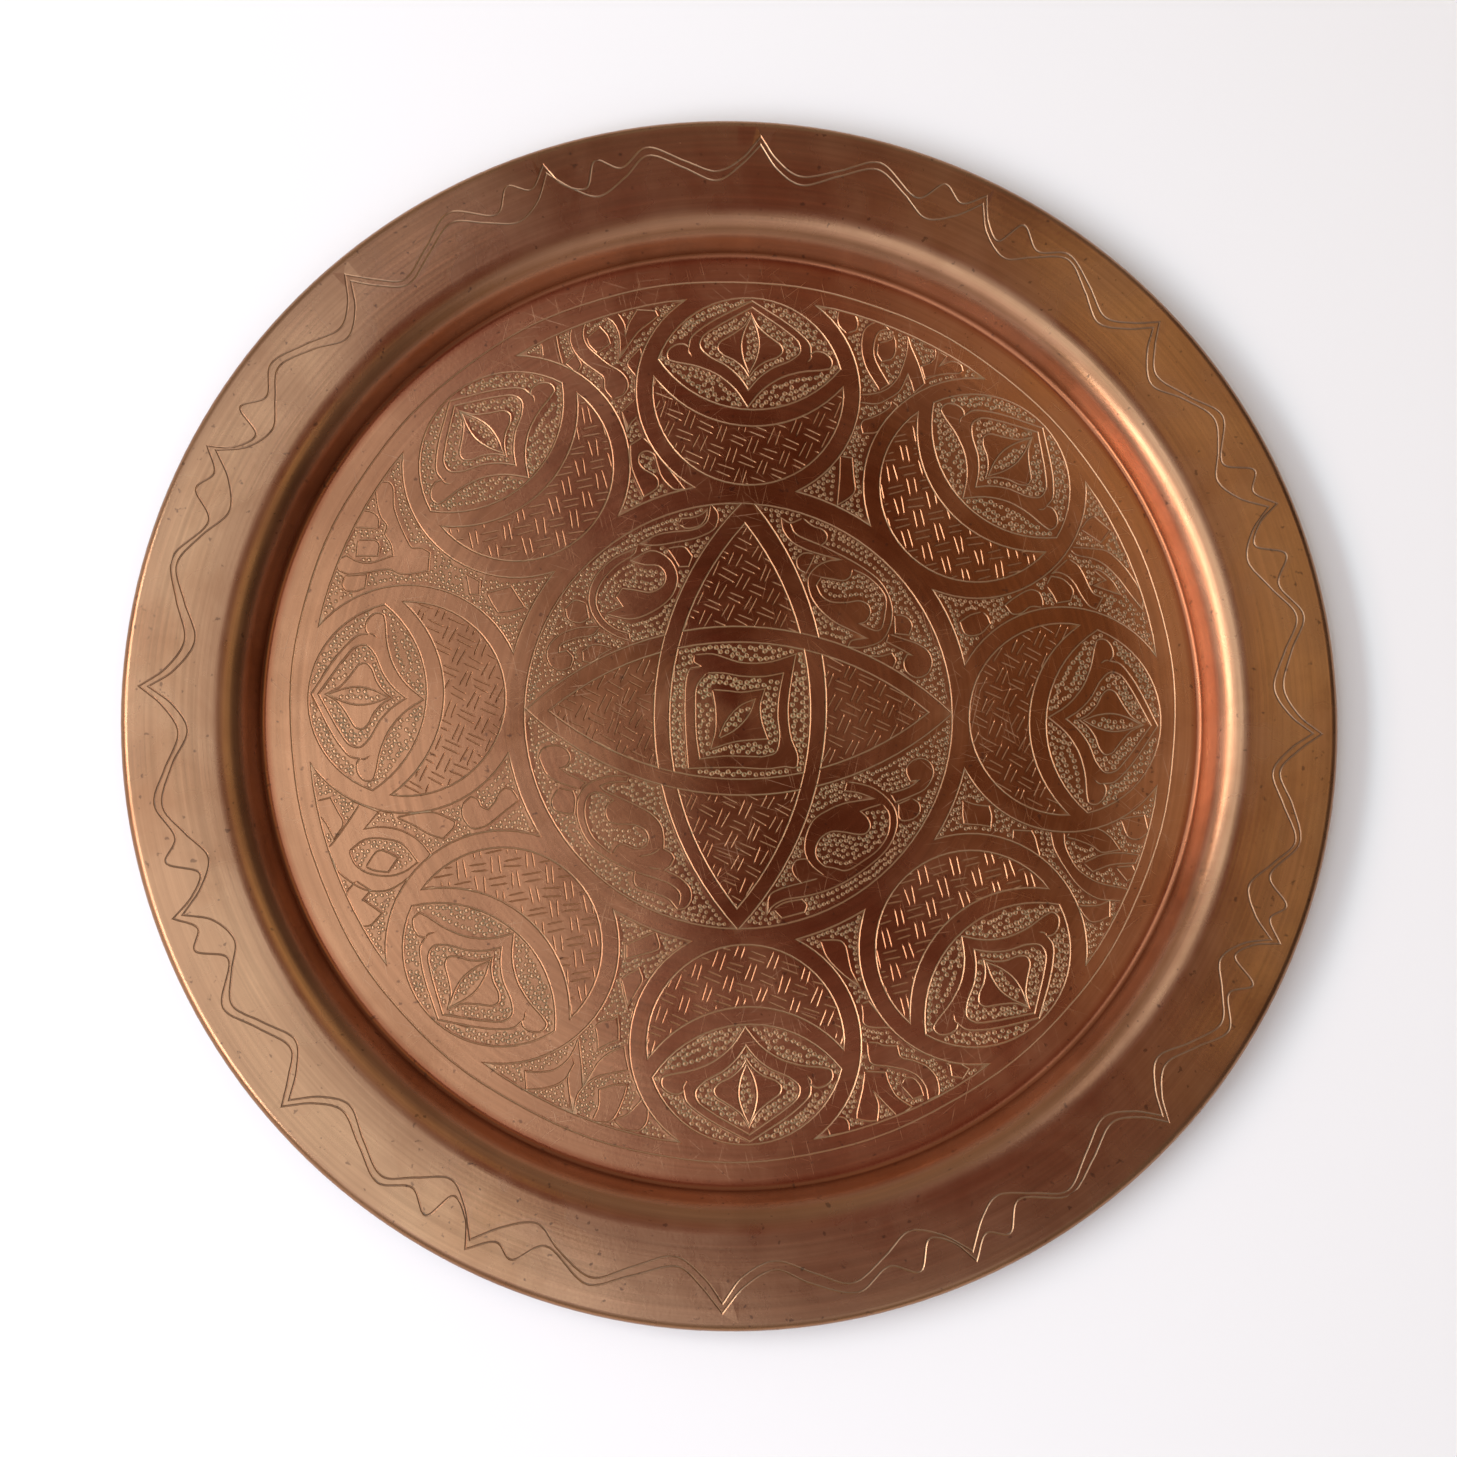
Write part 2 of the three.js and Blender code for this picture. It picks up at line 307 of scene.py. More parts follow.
# What fills each gap between two medallions, clockwise from the first gap right of the top: plain
# islands that the punched ground surrounds, about the gap's own middle. An island in an island is
# ground again.
GAP_RING = 111.0  # from the pattern's centre to a gap's middle
GAP_FILLS = [
    [
        at((-8.4, 35), (-8.6, 30.5), (-5.8, 27.6), (-2.6, 28.8), (-2, 31.2), (-3, 34.5), (-5, 38)),
        at((2.6, 31), (0.3, 28.9), (-0.6, 25.5), (-0.6, 20.8), (0.7, 15.8), (3, 11.6), (5.3, 7.9),
           (8.4, 10.1), (6.8, 12.8), (4.5, 17), (3.4, 20.5), (3.8, 25.1), (5.3, 28.2), (8.5, 29.2),
           (6, 32)),
        at((5, 24.2), (9.6, 25.8), (10.4, 27.6), (10.9, 24.3), (10.8, 21.2), (9.5, 18.9), (6.1, 17.9),
           (4.6, 20.6)),
        at((15.1, 27), (14.9, 22.4), (13.8, 17.8), (11.1, 11.6), (7.6, 8.2), (3, 6.6), (-2.2, 6.2),
           (-1.5, 3.6), (4.5, 3.2), (8.4, 5.1), (12.2, 7.8), (15.1, 13.9), (16.1, 10.8), (17.1, 7.2),
           (20.7, 10.5), (18.4, 17.8), (16.1, 23.2)),
        at((24.5, 22.4), (24.4, 19.7), (22.8, 17.7), (19.6, 16.4), (20.9, 11.8), (23.8, 13), (28.4, 13.9),
           (32.6, 14.1), (33.8, 15.1), (33.2, 17), (30.5, 18.2), (25.6, 16.4), (28.4, 20)),
        at((9.2, 4.3), (8.9, 2.4), (6.8, 0.5), (3, -1.5), (-0.4, -2.8), (-1.1, -4.2), (-0.5, -7.2),
           (4.2, -6.6), (7.5, -2), (11.5, 2.5)),
        at((-8.2, -15.1), (-4.2, -15.7), (-3.8, -21.5), (-3.4, -27.2), (-5.1, -29.3), (-9.3, -32),
           (-8.5, -23)),
    ],
    [
        at((13.4, 20.6), (16.3, 24.3), (18.2, 25.1), (20.2, 23.2), (23.4, 20.4), (20.2, 16.1),
           (18.2, 17.4)),
        at((9, 14.5), (17.8, 13.9), (22.1, 13.2), (26.7, 9.3), (30.5, 4.3), (34, -2), (34, -6.8),
           (29.8, -1.5), (25.9, 3.9), (21.3, 8.5), (17.5, 10.5), (11.3, 12)),
        at((7.5, 9.2), (9, 10.5), (12.1, 8.2), (14.4, 4.3), (15.9, 0.8), (17.5, -1.5), (20.5, -2.8),
           (18.2, -6.8), (15.9, -5.7), (13.2, -2.2), (10.9, 2), (8.2, 4.7), (4.8, 5.8), (3, 5.2)),
        at((17.3, 6.8), (19.4, 6.6), (23.6, 3.2), (26.9, -1.9), (22.4, -0.4), (17.4, 1.4), (21.6, 3.2)),
        at((-4.1, -0.3), (-1.4, -1.1), (-0.2, -3.4), (0, -6.3), (-4.1, -6.1), (-7.5, -8.4), (-10.4, -8.6),
           (-12.9, -5.7), (-9.5, -3)),
        at((1.3, 1.2), (3.6, -2.2), (4.8, -4.7), (9.5, -3.9), (10.4, -0.5), (7, 3.4), (3, 4.4)),
        at((-24.8, -9.2), (-20.6, -8), (-19.1, -9.5), (-18, -12), (-21, -15.3), (-24.8, -16.2),
           (-26.8, -15.3), (-28.3, -11.5)),
    ],
    [
        at((-28, 13.4), (-28.2, 9.3), (-27.8, 5.5), (-21.6, 5.1), (-18.8, 4.6), (-18.5, 8.2), (-19.3, 11.4),
           (-24, 12)),
        at((-11.6, -0.4), (-11.2, 3.5), (-5.1, 3.2), (-3.9, 0.8), (-3.2, -2.2), (-2.2, -5.8), (-6, -4.6)),
        at((1.3, 3.4), (1.6, 1), (2.6, -3), (6.1, -9.2), (10.7, -15.3), (16.8, -19.2), (25.5, -20),
           (27, -16.2), (24.9, -15.7), (16.8, -13.8), (10.7, -9.9), (8, -6.1), (6.1, -1.5), (5.8, 3.6)),
        at((6.6, 1.2), (10.7, 0.1), (15.3, -1.8), (18.2, -3.8), (24.5, -3), (21.5, 1.2), (16.8, 4.2),
           (10, 4.4)),
        at((12.2, -7.4), (18.4, -4.7), (24.5, -4), (31, -4.7), (29.6, -7.4), (21.5, -8), (15.3, -10.3)),
        at((23, -8.8), (26.8, -13.4), (30, -11.4), (28.6, -8.4)),
        at((24.9, 7.2), (27.6, 1.2), (31, 0.6), (34.2, 3), (33, 8.5), (29, 8)),
        at((10.2, -21.6), (16.8, -21.5), (20.8, -19.9), (20.6, -25.1), (16.8, -26.8), (14.2, -26.8),
           (11.6, -24)),
    ],
    [
        at((-15.8, 27), (-9.1, 26.8), (-7.5, 25.1), (-6.5, 20.8), (-5.6, 17), (-2.6, 11.6), (-8.7, 16.2),
           (-13.7, 21.6)),
        at((-2.3, 6.2), (-1.9, 3.2), (-1.8, 0.1), (-0.2, -1.2), (6.9, -1.6), (4.6, 1.5), (0.2, 7)),
        at((-0.5, -6.3), (-0.2, -10.7), (0.9, -13.2), (6.7, -14.2), (12.1, -15.3), (15.9, -17.2),
           (18.6, -20.7), (19.4, -25), (22.8, -23.6), (23, -21.8), (22.1, -17.6), (19, -14.2),
           (14.4, -12.2), (10.5, -11.1), (9.4, -7.6), (4.4, -7.2), (2.8, -6.5)),
        at((25.2, -13.2), (26.7, -13.8), (27.3, -17.4), (31, -18), (33, -15), (29, -13)),
        at((-1.4, -15.7), (5.5, -16.1), (6.5, -19.5), (9, -23.8), (13.9, -27.2), (9.4, -30.4), (4.4, -25.3),
           (1.3, -21.8), (3, -26.5), (2.6, -31.6), (-0.2, -31.8), (-4.1, -31.1), (-4.1, -29.2),
           (-2.2, -21.5)),
        at((10.5, -20.3), (14.4, -24.7), (17.8, -23.5), (16.5, -20), (14.4, -18), (12, -18)),
        at((-12.2, -30.7), (-8.3, -30.7), (-7, -32.2), (-6.5, -35.2), (-12.9, -36.4), (-13.9, -32.6)),
    ],
    [
        at((14.9, 29.8), (16.2, 25.1), (15.7, 24.1), (5.4, 21), (5.4, 25.6)),
        at((3.8, 14.3), (5.7, 15.8), (9.5, 17.8), (10.6, 14), (8.5, 10), (6, 5.5), (4.9, 10.1)),
        at((-4.7, -0.7), (-2, 0.8), (1.5, 1.6), (2.6, 2.4), (3, -1.5), (3, -5.3), (-0.1, -6.5),
           (-3.8, -8.4), (-3.9, -4.5)),
        at((-10.1, -4.7), (-9.5, -9.2), (-8.9, -14.5), (-8.5, -20.5), (-6.2, -16.8), (-3.2, -12.2),
           (0.7, -9.2), (4.9, -7.6), (5.3, -10.7), (6.3, -15.1), (0.7, -16.1), (-4.7, -17.6), (-9.9, -22.4),
           (-11.6, -28.8), (-13, -21.5), (-13.2, -16.8), (-11.4, -13), (-14.7, -18.4), (-20.1, -20.7),
           (-26.8, -21.3), (-27.4, -15.4), (-22.4, -15.7), (-17.8, -14.9), (-13.9, -12.2), (-11.4, -8.4)),
        at((5.8, -19.8), (1.5, -19.9), (-3.2, -21.4), (-3.4, -26.8), (-5.5, -31.6), (0.5, -31.4),
           (4.5, -24.5)),
        at((1.6, -31.1), (6.1, -29.2), (10.7, -24.5), (12.5, -27.6), (12.2, -31.8), (9.9, -34.4), (5, -34)),
    ],
    [
        at((-22.2, 11.4), (-16, 8.9), (-18.7, 5.5), (-20.6, 3.2), (-15.6, 3.9), (-8.7, 2.8), (-2.5, -0.7),
           (1.2, -5), (-5, -12), (-12.5, -16.8), (-19.5, -16.8), (-24.1, -14.5), (-28.7, -10.7),
           (-31, -6.2), (-33, -4), (-30.2, -0.7), (-26.4, 4.7)),
        at((-25.4, -4), (-23.3, -8.4), (-19.5, -11.1), (-12.5, -12.2), (-7.1, -10.7), (-2.9, -7.6),
           (-7.9, -1.8), (-13.3, -0.1), (-20.2, -0.2)),
        at((-19.8, -9.2), (-16.4, -4.2), (-14.8, -3.8), (-9.4, -6.2), (-12.5, -10.9), (-17, -10.4)),
        at((-36, 12.4), (-31.8, 13.5), (-29.5, 9.3), (-27.4, 4.9), (-30.4, 0), (-33.3, 5.5), (-36, 8.5)),
        at((-10.2, 7), (-4.1, 4.3), (0.5, 1.6), (5.2, 0.1), (8.8, 4.1), (9, 5.8), (2.1, 8.7), (-4, 8.4)),
        at((11.7, 11.6), (11.3, 8.2), (12.5, 5.5), (14.8, 3.5), (19, 4.3), (24.4, 8.5), (29.8, 12.8),
           (27.5, 16.2), (25.2, 17), (23.6, 15.5), (22.1, 12.4), (19.8, 9.7), (17.5, 10.8), (16.3, 13.2),
           (14, 14)),
        at((-22.9, -13.8), (-25.8, -17.8), (-24, -23), (-21.4, -28), (-18.3, -28.4), (-14.3, -24.3),
           (-20.6, -19.9), (-18.1, -16.9)),
    ],
    [
        at((-18.9, 33.9), (-18.9, 31.6), (-18.2, 26.2), (-17, 22.4), (-14.9, 19.4), (-15.5, 16.6),
           (-13.5, 13.2), (-12.8, 9.4), (-20.8, 6.8), (-24.7, 7.4), (-28.2, 9.3), (-32.2, 7), (-30.5, 4.3),
           (-27, 3), (-20.1, 3.9), (-13.9, 4.7), (-10.1, 3.2), (-5.5, 3.5), (-1, 4.4), (-0.6, 10.5),
           (-3.2, 12), (-6.5, 12.1), (-8.2, 14.7), (-10.8, 20.1), (-12.8, 26.2), (-13.2, 32.4),
           (-14.7, 34.3)),
        at((-24.5, 14.5), (-18.9, 14.5), (-17.4, 13.2), (-17.8, 9.2), (-24.9, 9.2)),
        at((-23.5, 24.3), (-19.7, 23.9), (-17.8, 22), (-17.8, 18.4), (-23.9, 18.8), (-28.6, 18.6),
           (-26, 21.6)),
        at((-28.5, 2.4), (-29.3, -0.7), (-27.8, -2.6), (-25.1, -2.8), (-21.8, -1.5), (-21.2, 3)),
        at((18.4, -3), (26.5, -0.7), (28.4, -3.8), (30.9, -7.5), (26.8, -8.8), (22.2, -9.5), (20.3, -6.8)),
        at((11.5, 3.4), (12.2, 0.1), (12.8, -3.4), (16, -3.6), (16, 1)),
    ],
    [
        at((-19.5, 25.5), (-18.7, 20.8), (-17.2, 15.1), (-23.7, 16.6), (-24.1, 20.1), (-24.5, 23.5),
           (-22.2, 24.5)),
        at((-12.9, 18.9), (-16.2, 15.6), (-12.5, 12.4), (-11, 15.3)),
        at((-14.2, 27.8), (-14.8, 24.3), (-13.7, 20.5), (-10.2, 16.2), (-6, 13.2), (-3.3, 10.8), (-2.9, 7),
           (-0.2, 3.5), (2.8, 4.7), (4.8, 7.4), (4.4, 10.5), (2.1, 13.2), (-1.8, 15.5), (-6, 18.9),
           (-9.1, 22), (-10.4, 25.5), (-9.8, 29.3), (-7.2, 31.8), (-11, 31.5)),
        at((-9.1, 24.7), (-4.8, 28.5), (-2.2, 25.5), (-1.2, 22.8), (-5.6, 19.4), (-8.4, 22.4)),
        at((-3.2, 32.2), (-0.2, 30.1), (1.7, 26.2), (2.1, 22.4), (2, 17.5), (8.2, 27), (12.8, 30.8),
           (14.8, 32.8), (14, 34.4), (7.8, 34.7), (4.8, 29.3), (3.9, 25.3), (3.6, 29.3), (1.2, 33.6)),
        at((9, 21.4), (4.8, 16.6), (4.8, 15.1), (8, 11), (9.5, 16)),
        at((7.3, 3.7), (2.8, -0.7), (4.6, -8), (6, -4.5), (10.5, -0.3), (9, 2)),
        at((9.8, -9.5), (5.7, -12.2), (6.3, -19.9), (10.4, -29.9), (14.8, -26.8), (15.2, -24.5),
           (14, -22.6), (10.2, -20.3), (8.6, -18), (9, -15.3), (11.3, -14.2), (13.8, -15.4), (14.8, -18.5),
           (16.2, -22.6), (18.2, -25.3), (20.9, -27.3), (24, -27), (17, -18), (12.5, -12)),
    ],
]

# The line of the brim. Its cusps point outwards: plain ones, and between them fancy ones with a
# small hump at each side. A station is a share of the way between two cusps, and a radius.
PLAIN_CUSPS = [-2.4, 42.7, 87.7, 132.3, 178.4, 221.6, 268.5, 316.0]
FANCY_CUSPS = [21.0, 64.2, 109.7, 154.0, 201.0, 243.5, 293.2, 336.5]
OUTER_TO_FANCY = [(0, 193.8), (0.08, 186.0), (0.2, 181.0), (0.36, 185.6), (0.52, 190.9), (0.67, 185.4),
                  (0.77, 190.6), (0.85, 181.2), (0.94, 185.6), (1, 193.6)]
OUTER_TO_PLAIN = [(0, 193.6), (0.09, 187.2), (0.18, 191.0), (0.27, 182.8), (0.47, 190.7), (0.64, 185.4),
                  (0.81, 180.4), (0.92, 186.0), (1, 193.8)]
INNER_TO_FANCY = [(0, 190.8), (0.08, 183.0), (0.2, 177.8), (0.36, 183.2), (0.52, 188.4), (0.66, 182.4),
                  (0.79, 177.2), (0.91, 181.8), (1, 190.4)]
INNER_TO_PLAIN = [(0, 190.4), (0.09, 182.2), (0.21, 177.6), (0.34, 182.8), (0.48, 188.2), (0.64, 182.6),
                  (0.8, 177.4), (0.92, 183.0), (1, 190.8)]


TRACE_STEP = 0.5  # at which a line is tried for being inside an outline
FEWEST_TRIES = 4  # that a stretch inside it must pass, or it is left out


def inside(outline, points):
    """Which of the points an outline surrounds."""
    a = np.asarray(outline)
    b = np.roll(a, -1)
    p = np.asarray(points)[:, None]
    spans = (a.imag > p.imag) != (b.imag > p.imag)
    with np.errstate(divide="ignore", invalid="ignore"):
        cross = a.real + (p.imag - a.imag) * (b.real - a.real) / (b.imag - a.imag)
    return (spans & (p.real < cross)).sum(axis=1) % 2 == 1


def distance(line, points):
    """How far each point is from a line."""
    a, b = np.asarray(line[:-1]), np.asarray(line[1:])
    p = np.asarray(points)[:, None]
    along = ((p - a) * (b - a).conj()).real / np.maximum(np.abs(b - a) ** 2, 1e-12)
    return np.abs(p - a - np.clip(along, 0, 1) * (b - a)).min(axis=1)


def closed(outline):
    """An outline as a line that comes back to its start."""
    return [*outline, outline[0]]


def corners_round(points):
    """The lowest and the highest corner of the box round some points."""
    return (complex(f(p.real for p in points), f(p.imag for p in points)) for f in (min, max))


def kept_inside(line, outline):
    """The stretches of a line that an outline surrounds, cut off where it crosses the outline."""
    fine = []
    for a, b in zip(line, line[1:]):
        steps = max(1, ceil(abs(b - a) / TRACE_STEP))
        fine += [a + (b - a) * i / steps for i in range(steps)]
    fine.append(line[-1])
    stretches, stretch = [], []
    for p, within in zip(fine, inside(outline, fine)):
        if within:
            stretch.append(p)
        elif stretch:
            stretches.append(stretch)
            stretch = []
    stretches.append(stretch)
    return [thinned(s) for s in stretches if len(s) >= FEWEST_TRIES]


def shifted(points, origin):
    """Points from about an origin to the plan."""
    return [origin + p for p in points]


def moved(points, origin, outwards, flip=False):
    """Points from a motif's own frame to the plan. outwards is the way its +Y points, in degrees."""
    turn = unit(outwards - 90)
    return [origin + turn * (-p.conjugate() if flip else p) for p in points]


def medallion_places():
    """Each medallion's middle, the way it points and its weave's tilt, clockwise from the top."""
    places = []
    for i, (out, left, turn, tilt) in enumerate(MEDALLION_SLIPS):
        way = 90 - 360 * i / MEDALLIONS
        middle = PATTERN_CENTRE + (MEDALLION_RING + out + left * 1j) * unit(way)
        places.append((middle, way + turn, tilt))
    return places


def palmette():
    """The nested outlines of a medallion's palmette, from the lens that holds it to its leaf."""
    lens = joined(
        arc_between((0, MEDALLION_INNER), LENS_TIP, MEDALLION_INNER * 1j),
        arc_between((0, MEDALLION_INNER), MEDALLION_INNER * 1j, mirrored([LENS_TIP])[0]),
        arc_between(circle_under(LENS_TIP, LENS_RADIUS), mirrored([LENS_TIP])[0], LENS_TIP),
    )
    heart = joined(smooth(HEART_TOP), smooth(HEART_EAR), smooth(HEART_FOOT))
    return [lens, both_sides([*heart, HEART_FOOT[-1]])] + [
        both_sides(smooth(half)) for half in (INNER_HEART, DIAMOND, LEAF)
    ]


def circle_under(tip, radius):
    """The circle that sags through a tip and its mirror image."""
    return complex(0, tip.imag + sqrt(radius**2 - tip.real**2)), radius


def crescent():
    """The outline of the moon that a medallion's basket weave fills."""
    left = mirrored([CRESCENT_TIP])[0]
    lowest = complex(0, -MEDALLION_INNER)
    return joined(
        arc_between(circle_under(CRESCENT_TIP, CRESCENT_RADIUS), left, CRESCENT_TIP),
        arc_between((0, MEDALLION_INNER), CRESCENT_TIP, lowest),
        arc_between((0, MEDALLION_INNER), lowest, left),
    )


def gap_outline(place_a, place_b, way):
    """The field between two medallions, from the border in to the hub."""
    a, b = ((place[0], MEDALLION_OUTER) for place in (place_a, place_b))
    field, hub = (PATTERN_CENTRE, FIELD_RADIUS), (PATTERN_CENTRE, HUB_RADIUS)
    # rough corners, which only say which of two crossings is meant
    corners = at((-33, 27), (33, 27), (14, -35), (-14, -35))
    middle = PATTERN_CENTRE + GAP_RING * unit(way)
    far_left, far_right, near_right, near_left = moved(corners, middle, way)
    top_a, top_b = meet(a, field, far_left), meet(b, field, far_right)
    low_a, low_b = meet(a, hub, near_left), meet(b, hub, near_right)
    return joined(arc_between(field, top_a, top_b), arc_between(b, top_b, low_b),
                  arc_between(hub, low_b, low_a), arc_between(a, low_a, top_a))


# The disc in the middle. Two pointed ovals cross in it, each drawn as a band. Each side of a band is
# an arc through three points about the disc's middle, outer line first.
DISC_CENTRE = 1.0 - 1.0j
UPRIGHT_LEFT = [at((0.2, 70.8), (-28.4, 0), (-1.1, -71)), at((1.8, 64.4), (-23.3, 0), (-1.0, -64.5))]
UPRIGHT_RIGHT = [at((5.4, 70.8), (29, 0), (0, -71)), at((2.0, 64.4), (23.7, 0), (-0.7, -64.5))]
LEVEL_TOP = [at((-70.3, 1.4), (0, 29.4), (70.8, 0.9)), at((-63.2, 0.6), (0, 24.1), (63.2, 1))]
LEVEL_LOW = [at((-70.5, 0.9), (0, -27.2), (70.6, -0.2)), at((-62.6, 0.2), (0, -21.9), (63, 0.4))]
# The nested squares in the very middle and the leaf in them, about their own middle and clockwise.
# Each side of an outline is a line of its own, so that the corners stay sharp.
MIDDLE_PLACE = 0.6 + 1.0j
MIDDLE_OUTLINES = [
    [at((-15.6, 18.6), (-9.6, 19), (0, 16.2), (9.4, 16.4), (18.4, 19.2)),
     at((18.4, 19.2), (16.6, 9.6), (15.6, 0), (16.6, -9), (18.8, -15), (18.2, -18.8), (14.6, -18.6)),
     at((14.6, -18.6), (8.6, -19.4), (0, -19), (-8, -19), (-17.6, -19.4)),
     at((-17.6, -19.4), (-18.4, -9), (-18.8, 2), (-18.4, 10), (-17, 14), (-13.6, 14.8), (-15.8, 16.4),
        (-15.6, 18.6))],
    [at((-11.6, 12.6), (-6, 12.6), (0, 11.6), (8, 11.6), (14.2, 12.8)),
     at((14.2, 12.8), (12.6, 5), (12.2, -2), (12.8, -9), (11.4, -14), (7, -15.4)),
     at((7, -15.4), (0, -15.2), (-6, -15.2), (-13.8, -16.2)),
     at((-13.8, -16.2), (-15, -8), (-15.2, 0), (-14.8, 8), (-11.6, 12.6))],
    [at((-9.6, 7), (-4, 6.6), (0, 6.2), (8, 7.4)),
     at((8, 7.4), (6.4, 2), (6.8, -3.4), (8.8, -9.4)),
     at((8.8, -9.4), (3, -9.8), (-3, -10.6), (-10.2, -13)),
     at((-10.2, -13), (-8.6, -7), (-8.6, 1), (-9.6, 7))],
    [at((-7.6, -9.4), (-5.2, -3.8), (-0.4, 1.6), (4.8, 4)),
     at((4.8, 4), (2.6, -1.4), (-2, -6.4), (-7.6, -9.4))],
]


def circle_through(points):
    """The circle through three points about the disc's middle."""
    a, b, c = (DISC_CENTRE + p for p in points)
    w = (c - a) / (b - a)
    middle = a + (b - a) * (abs(w) ** 2 - w) / (w.conjugate() - w)
    return middle, abs(middle - a)


def arm(side_a, side_b, crossing, tip_spot, spot_a, spot_b):
    """An arm of a pointed oval between its two sides, from the band that crosses it to its tip."""
    tip = meet(side_a[1], side_b[1], tip_spot)
    a = meet(side_a[1], crossing[0], spot_a)
    b = meet(side_b[1], crossing[0], spot_b)
    return joined(arc_between(crossing[0], a, b), arc_between(side_b[1], b, tip),
                  arc_between(side_a[1], tip, a))


def disc():
    """The grounds, the woven arms and the loose lines of the disc."""
    left, right, top, low = ([circle_through(line) for line in side]
                             for side in (UPRIGHT_LEFT, UPRIGHT_RIGHT, LEVEL_TOP, LEVEL_LOW))
    rim = (DISC_CENTRE, DISC_RADIUS)
    grounds, arms, lines = [], [], []

    def near(x, y):
        """A rough place, which only says which of two crossings is meant."""
        return DISC_CENTRE + complex(x, y)

    for x, y in ((-1, 1), (1, 1), (1, -1), (-1, -1)):
        upright, level = (left, right)[x > 0], (low, top)[y > 0]
        tip_v = meet(upright[0], rim, near(0, 71 * y))
        tip_h = meet(level[0], rim, near(71 * x, 0))
        spot = near(28 * x, 28 * y)
        cross = meet(upright[0], level[0], spot)
        border = joined(arc_between(rim, tip_v, tip_h), arc_between(level[0], tip_h, cross),
                        arc_between(upright[0], cross, tip_v))
        grounds.append([border, *(shifted(drawn(shape), DISC_CENTRE) for shape in SCROLLS[x, y])])
        lines += [shifted(smooth(vein), DISC_CENTRE) for vein in SCROLL_VEINS.get((x, y), [])]
        # at each crossing one band runs over the other, turn and turn about
        over, under = (level, upright) if x * y > 0 else (upright, level)
        for side in over:
            a, b = (meet(side, other, spot) for other in under)
            lines.append(arc_between(side, a, b))
    lines.append(arc_between(rim, *(meet(side[0], rim, near(0, 71)) for side in (left, right))))
    for y, level in ((1, top), (-1, low)):
        arms.append(arm(left, right, level, near(0, 64 * y), near(-24, 26 * y), near(24, 26 * y)))
    for x, upright in ((-1, left), (1, right)):
        arms.append(arm(top, low, upright, near(63 * x, 0), near(28 * x, 20), near(28 * x, -20)))
    up_in, level_in = (left[1], right[1]), (top[1], low[1])
    corners = [meet(up_in[x > 0], level_in[y < 0], near(22 * x, 22 * y))
               for x, y in ((-1, 1), (1, 1), (1, -1), (-1, -1))]
    sides = [level_in[0], up_in[1], level_in[1], up_in[0]]
    square = joined(*(arc_between(s, a, b) for s, a, b in zip(sides, corners, corners[1:] + corners[:1])))
    middle = DISC_CENTRE + MIDDLE_PLACE
    nested = [shifted(joined(*map(smooth, parts)), middle) for parts in MIDDLE_OUTLINES]
    grounds.append([square, *nested])
    return grounds, arms, lines


CELL = 5.7  # of the basket weave: each cell holds two strokes, and its neighbours' lie across them
STROKE_GAP = 1.12  # from the middle of a cell to each of its strokes
STROKE_LENGTH = 6.3
SHORTEST_STROKE = 1.5  # where the outline cuts one off
ARM_TILT = -26  # of the weave in the disc's arms


def weave(outline, tilt, chance):
    """The strokes of basket weave that fill an outline."""
    turn = unit(tilt)
    low, high = corners_round([p / turn for p in outline])
    strokes = []
    for i in range(floor(low.real / CELL), ceil(high.real / CELL) + 1):
        for j in range(floor(low.imag / CELL), ceil(high.imag / CELL) + 1):
            along = 1 if (i + j) % 2 else 1j
            for side in (-1, 1):
                middle = CELL * complex(i, j) + along * 1j * side * STROKE_GAP
                middle += complex(chance.uniform(-0.3, 0.3), chance.uniform(-0.3, 0.3))
                half = along * unit(chance.uniform(-5, 5)) * STROKE_LENGTH / 2 * chance.uniform(0.85, 1.1)
                line = [turn * (middle - half), turn * (middle + half)]
                strokes += [s for s in kept_inside(line, outline) if abs(s[-1] - s[0]) > SHORTEST_STROKE]
    return strokes


def brim_line(to_fancy, to_plain, chance):
    """One closed line round the brim, through the stations between its cusps."""
    lines = []
    cusps = [a for pair in zip(PLAIN_CUSPS, FANCY_CUSPS) for a in pair] + [PLAIN_CUSPS[0] + 360]
    for i, (start, end) in enumerate(zip(cusps, cusps[1:])):
        stations = []
        for share, radius in (to_plain if i % 2 else to_fancy):
            if 0 < share < 1:
                share += chance.uniform(-0.012, 0.012)
                radius += chance.uniform(-0.5, 0.5)
            stations.append(radius * unit(start + share * (end - start)))
        lines.append(smooth(stations))
    return joined(*lines)


def border_line():
    """The circle round the pattern, a little uneven, as a hand draws it."""
    steps = 720
    points = []
    for i in range(steps):
        t = 2 * pi * i / steps
        radius = BORDER_RADIUS + 0.35 * sin(3 * t + 1) + 0.25 * sin(7 * t) + 0.15 * sin(19 * t)
        points.append(radius * complex(cos(t), sin(t)))
    return thinned(points)


LARGE_PUNCH = 1.9  # in the medallions and the very middle: from one ring to the next
SMALL_PUNCH = 1.57  # everywhere else
PUNCH_SIZE = 0.45  # radius of a punched ring, as a share of that spacing
PUNCH_ROW = 0.8  # width of a row of punches, as a share of it
PUNCH_CLEAR = 0.37  # from a punched ring's edge to the middle of a chased line
PUNCH_GRID = 0.3  # of the places that are tried for a punch


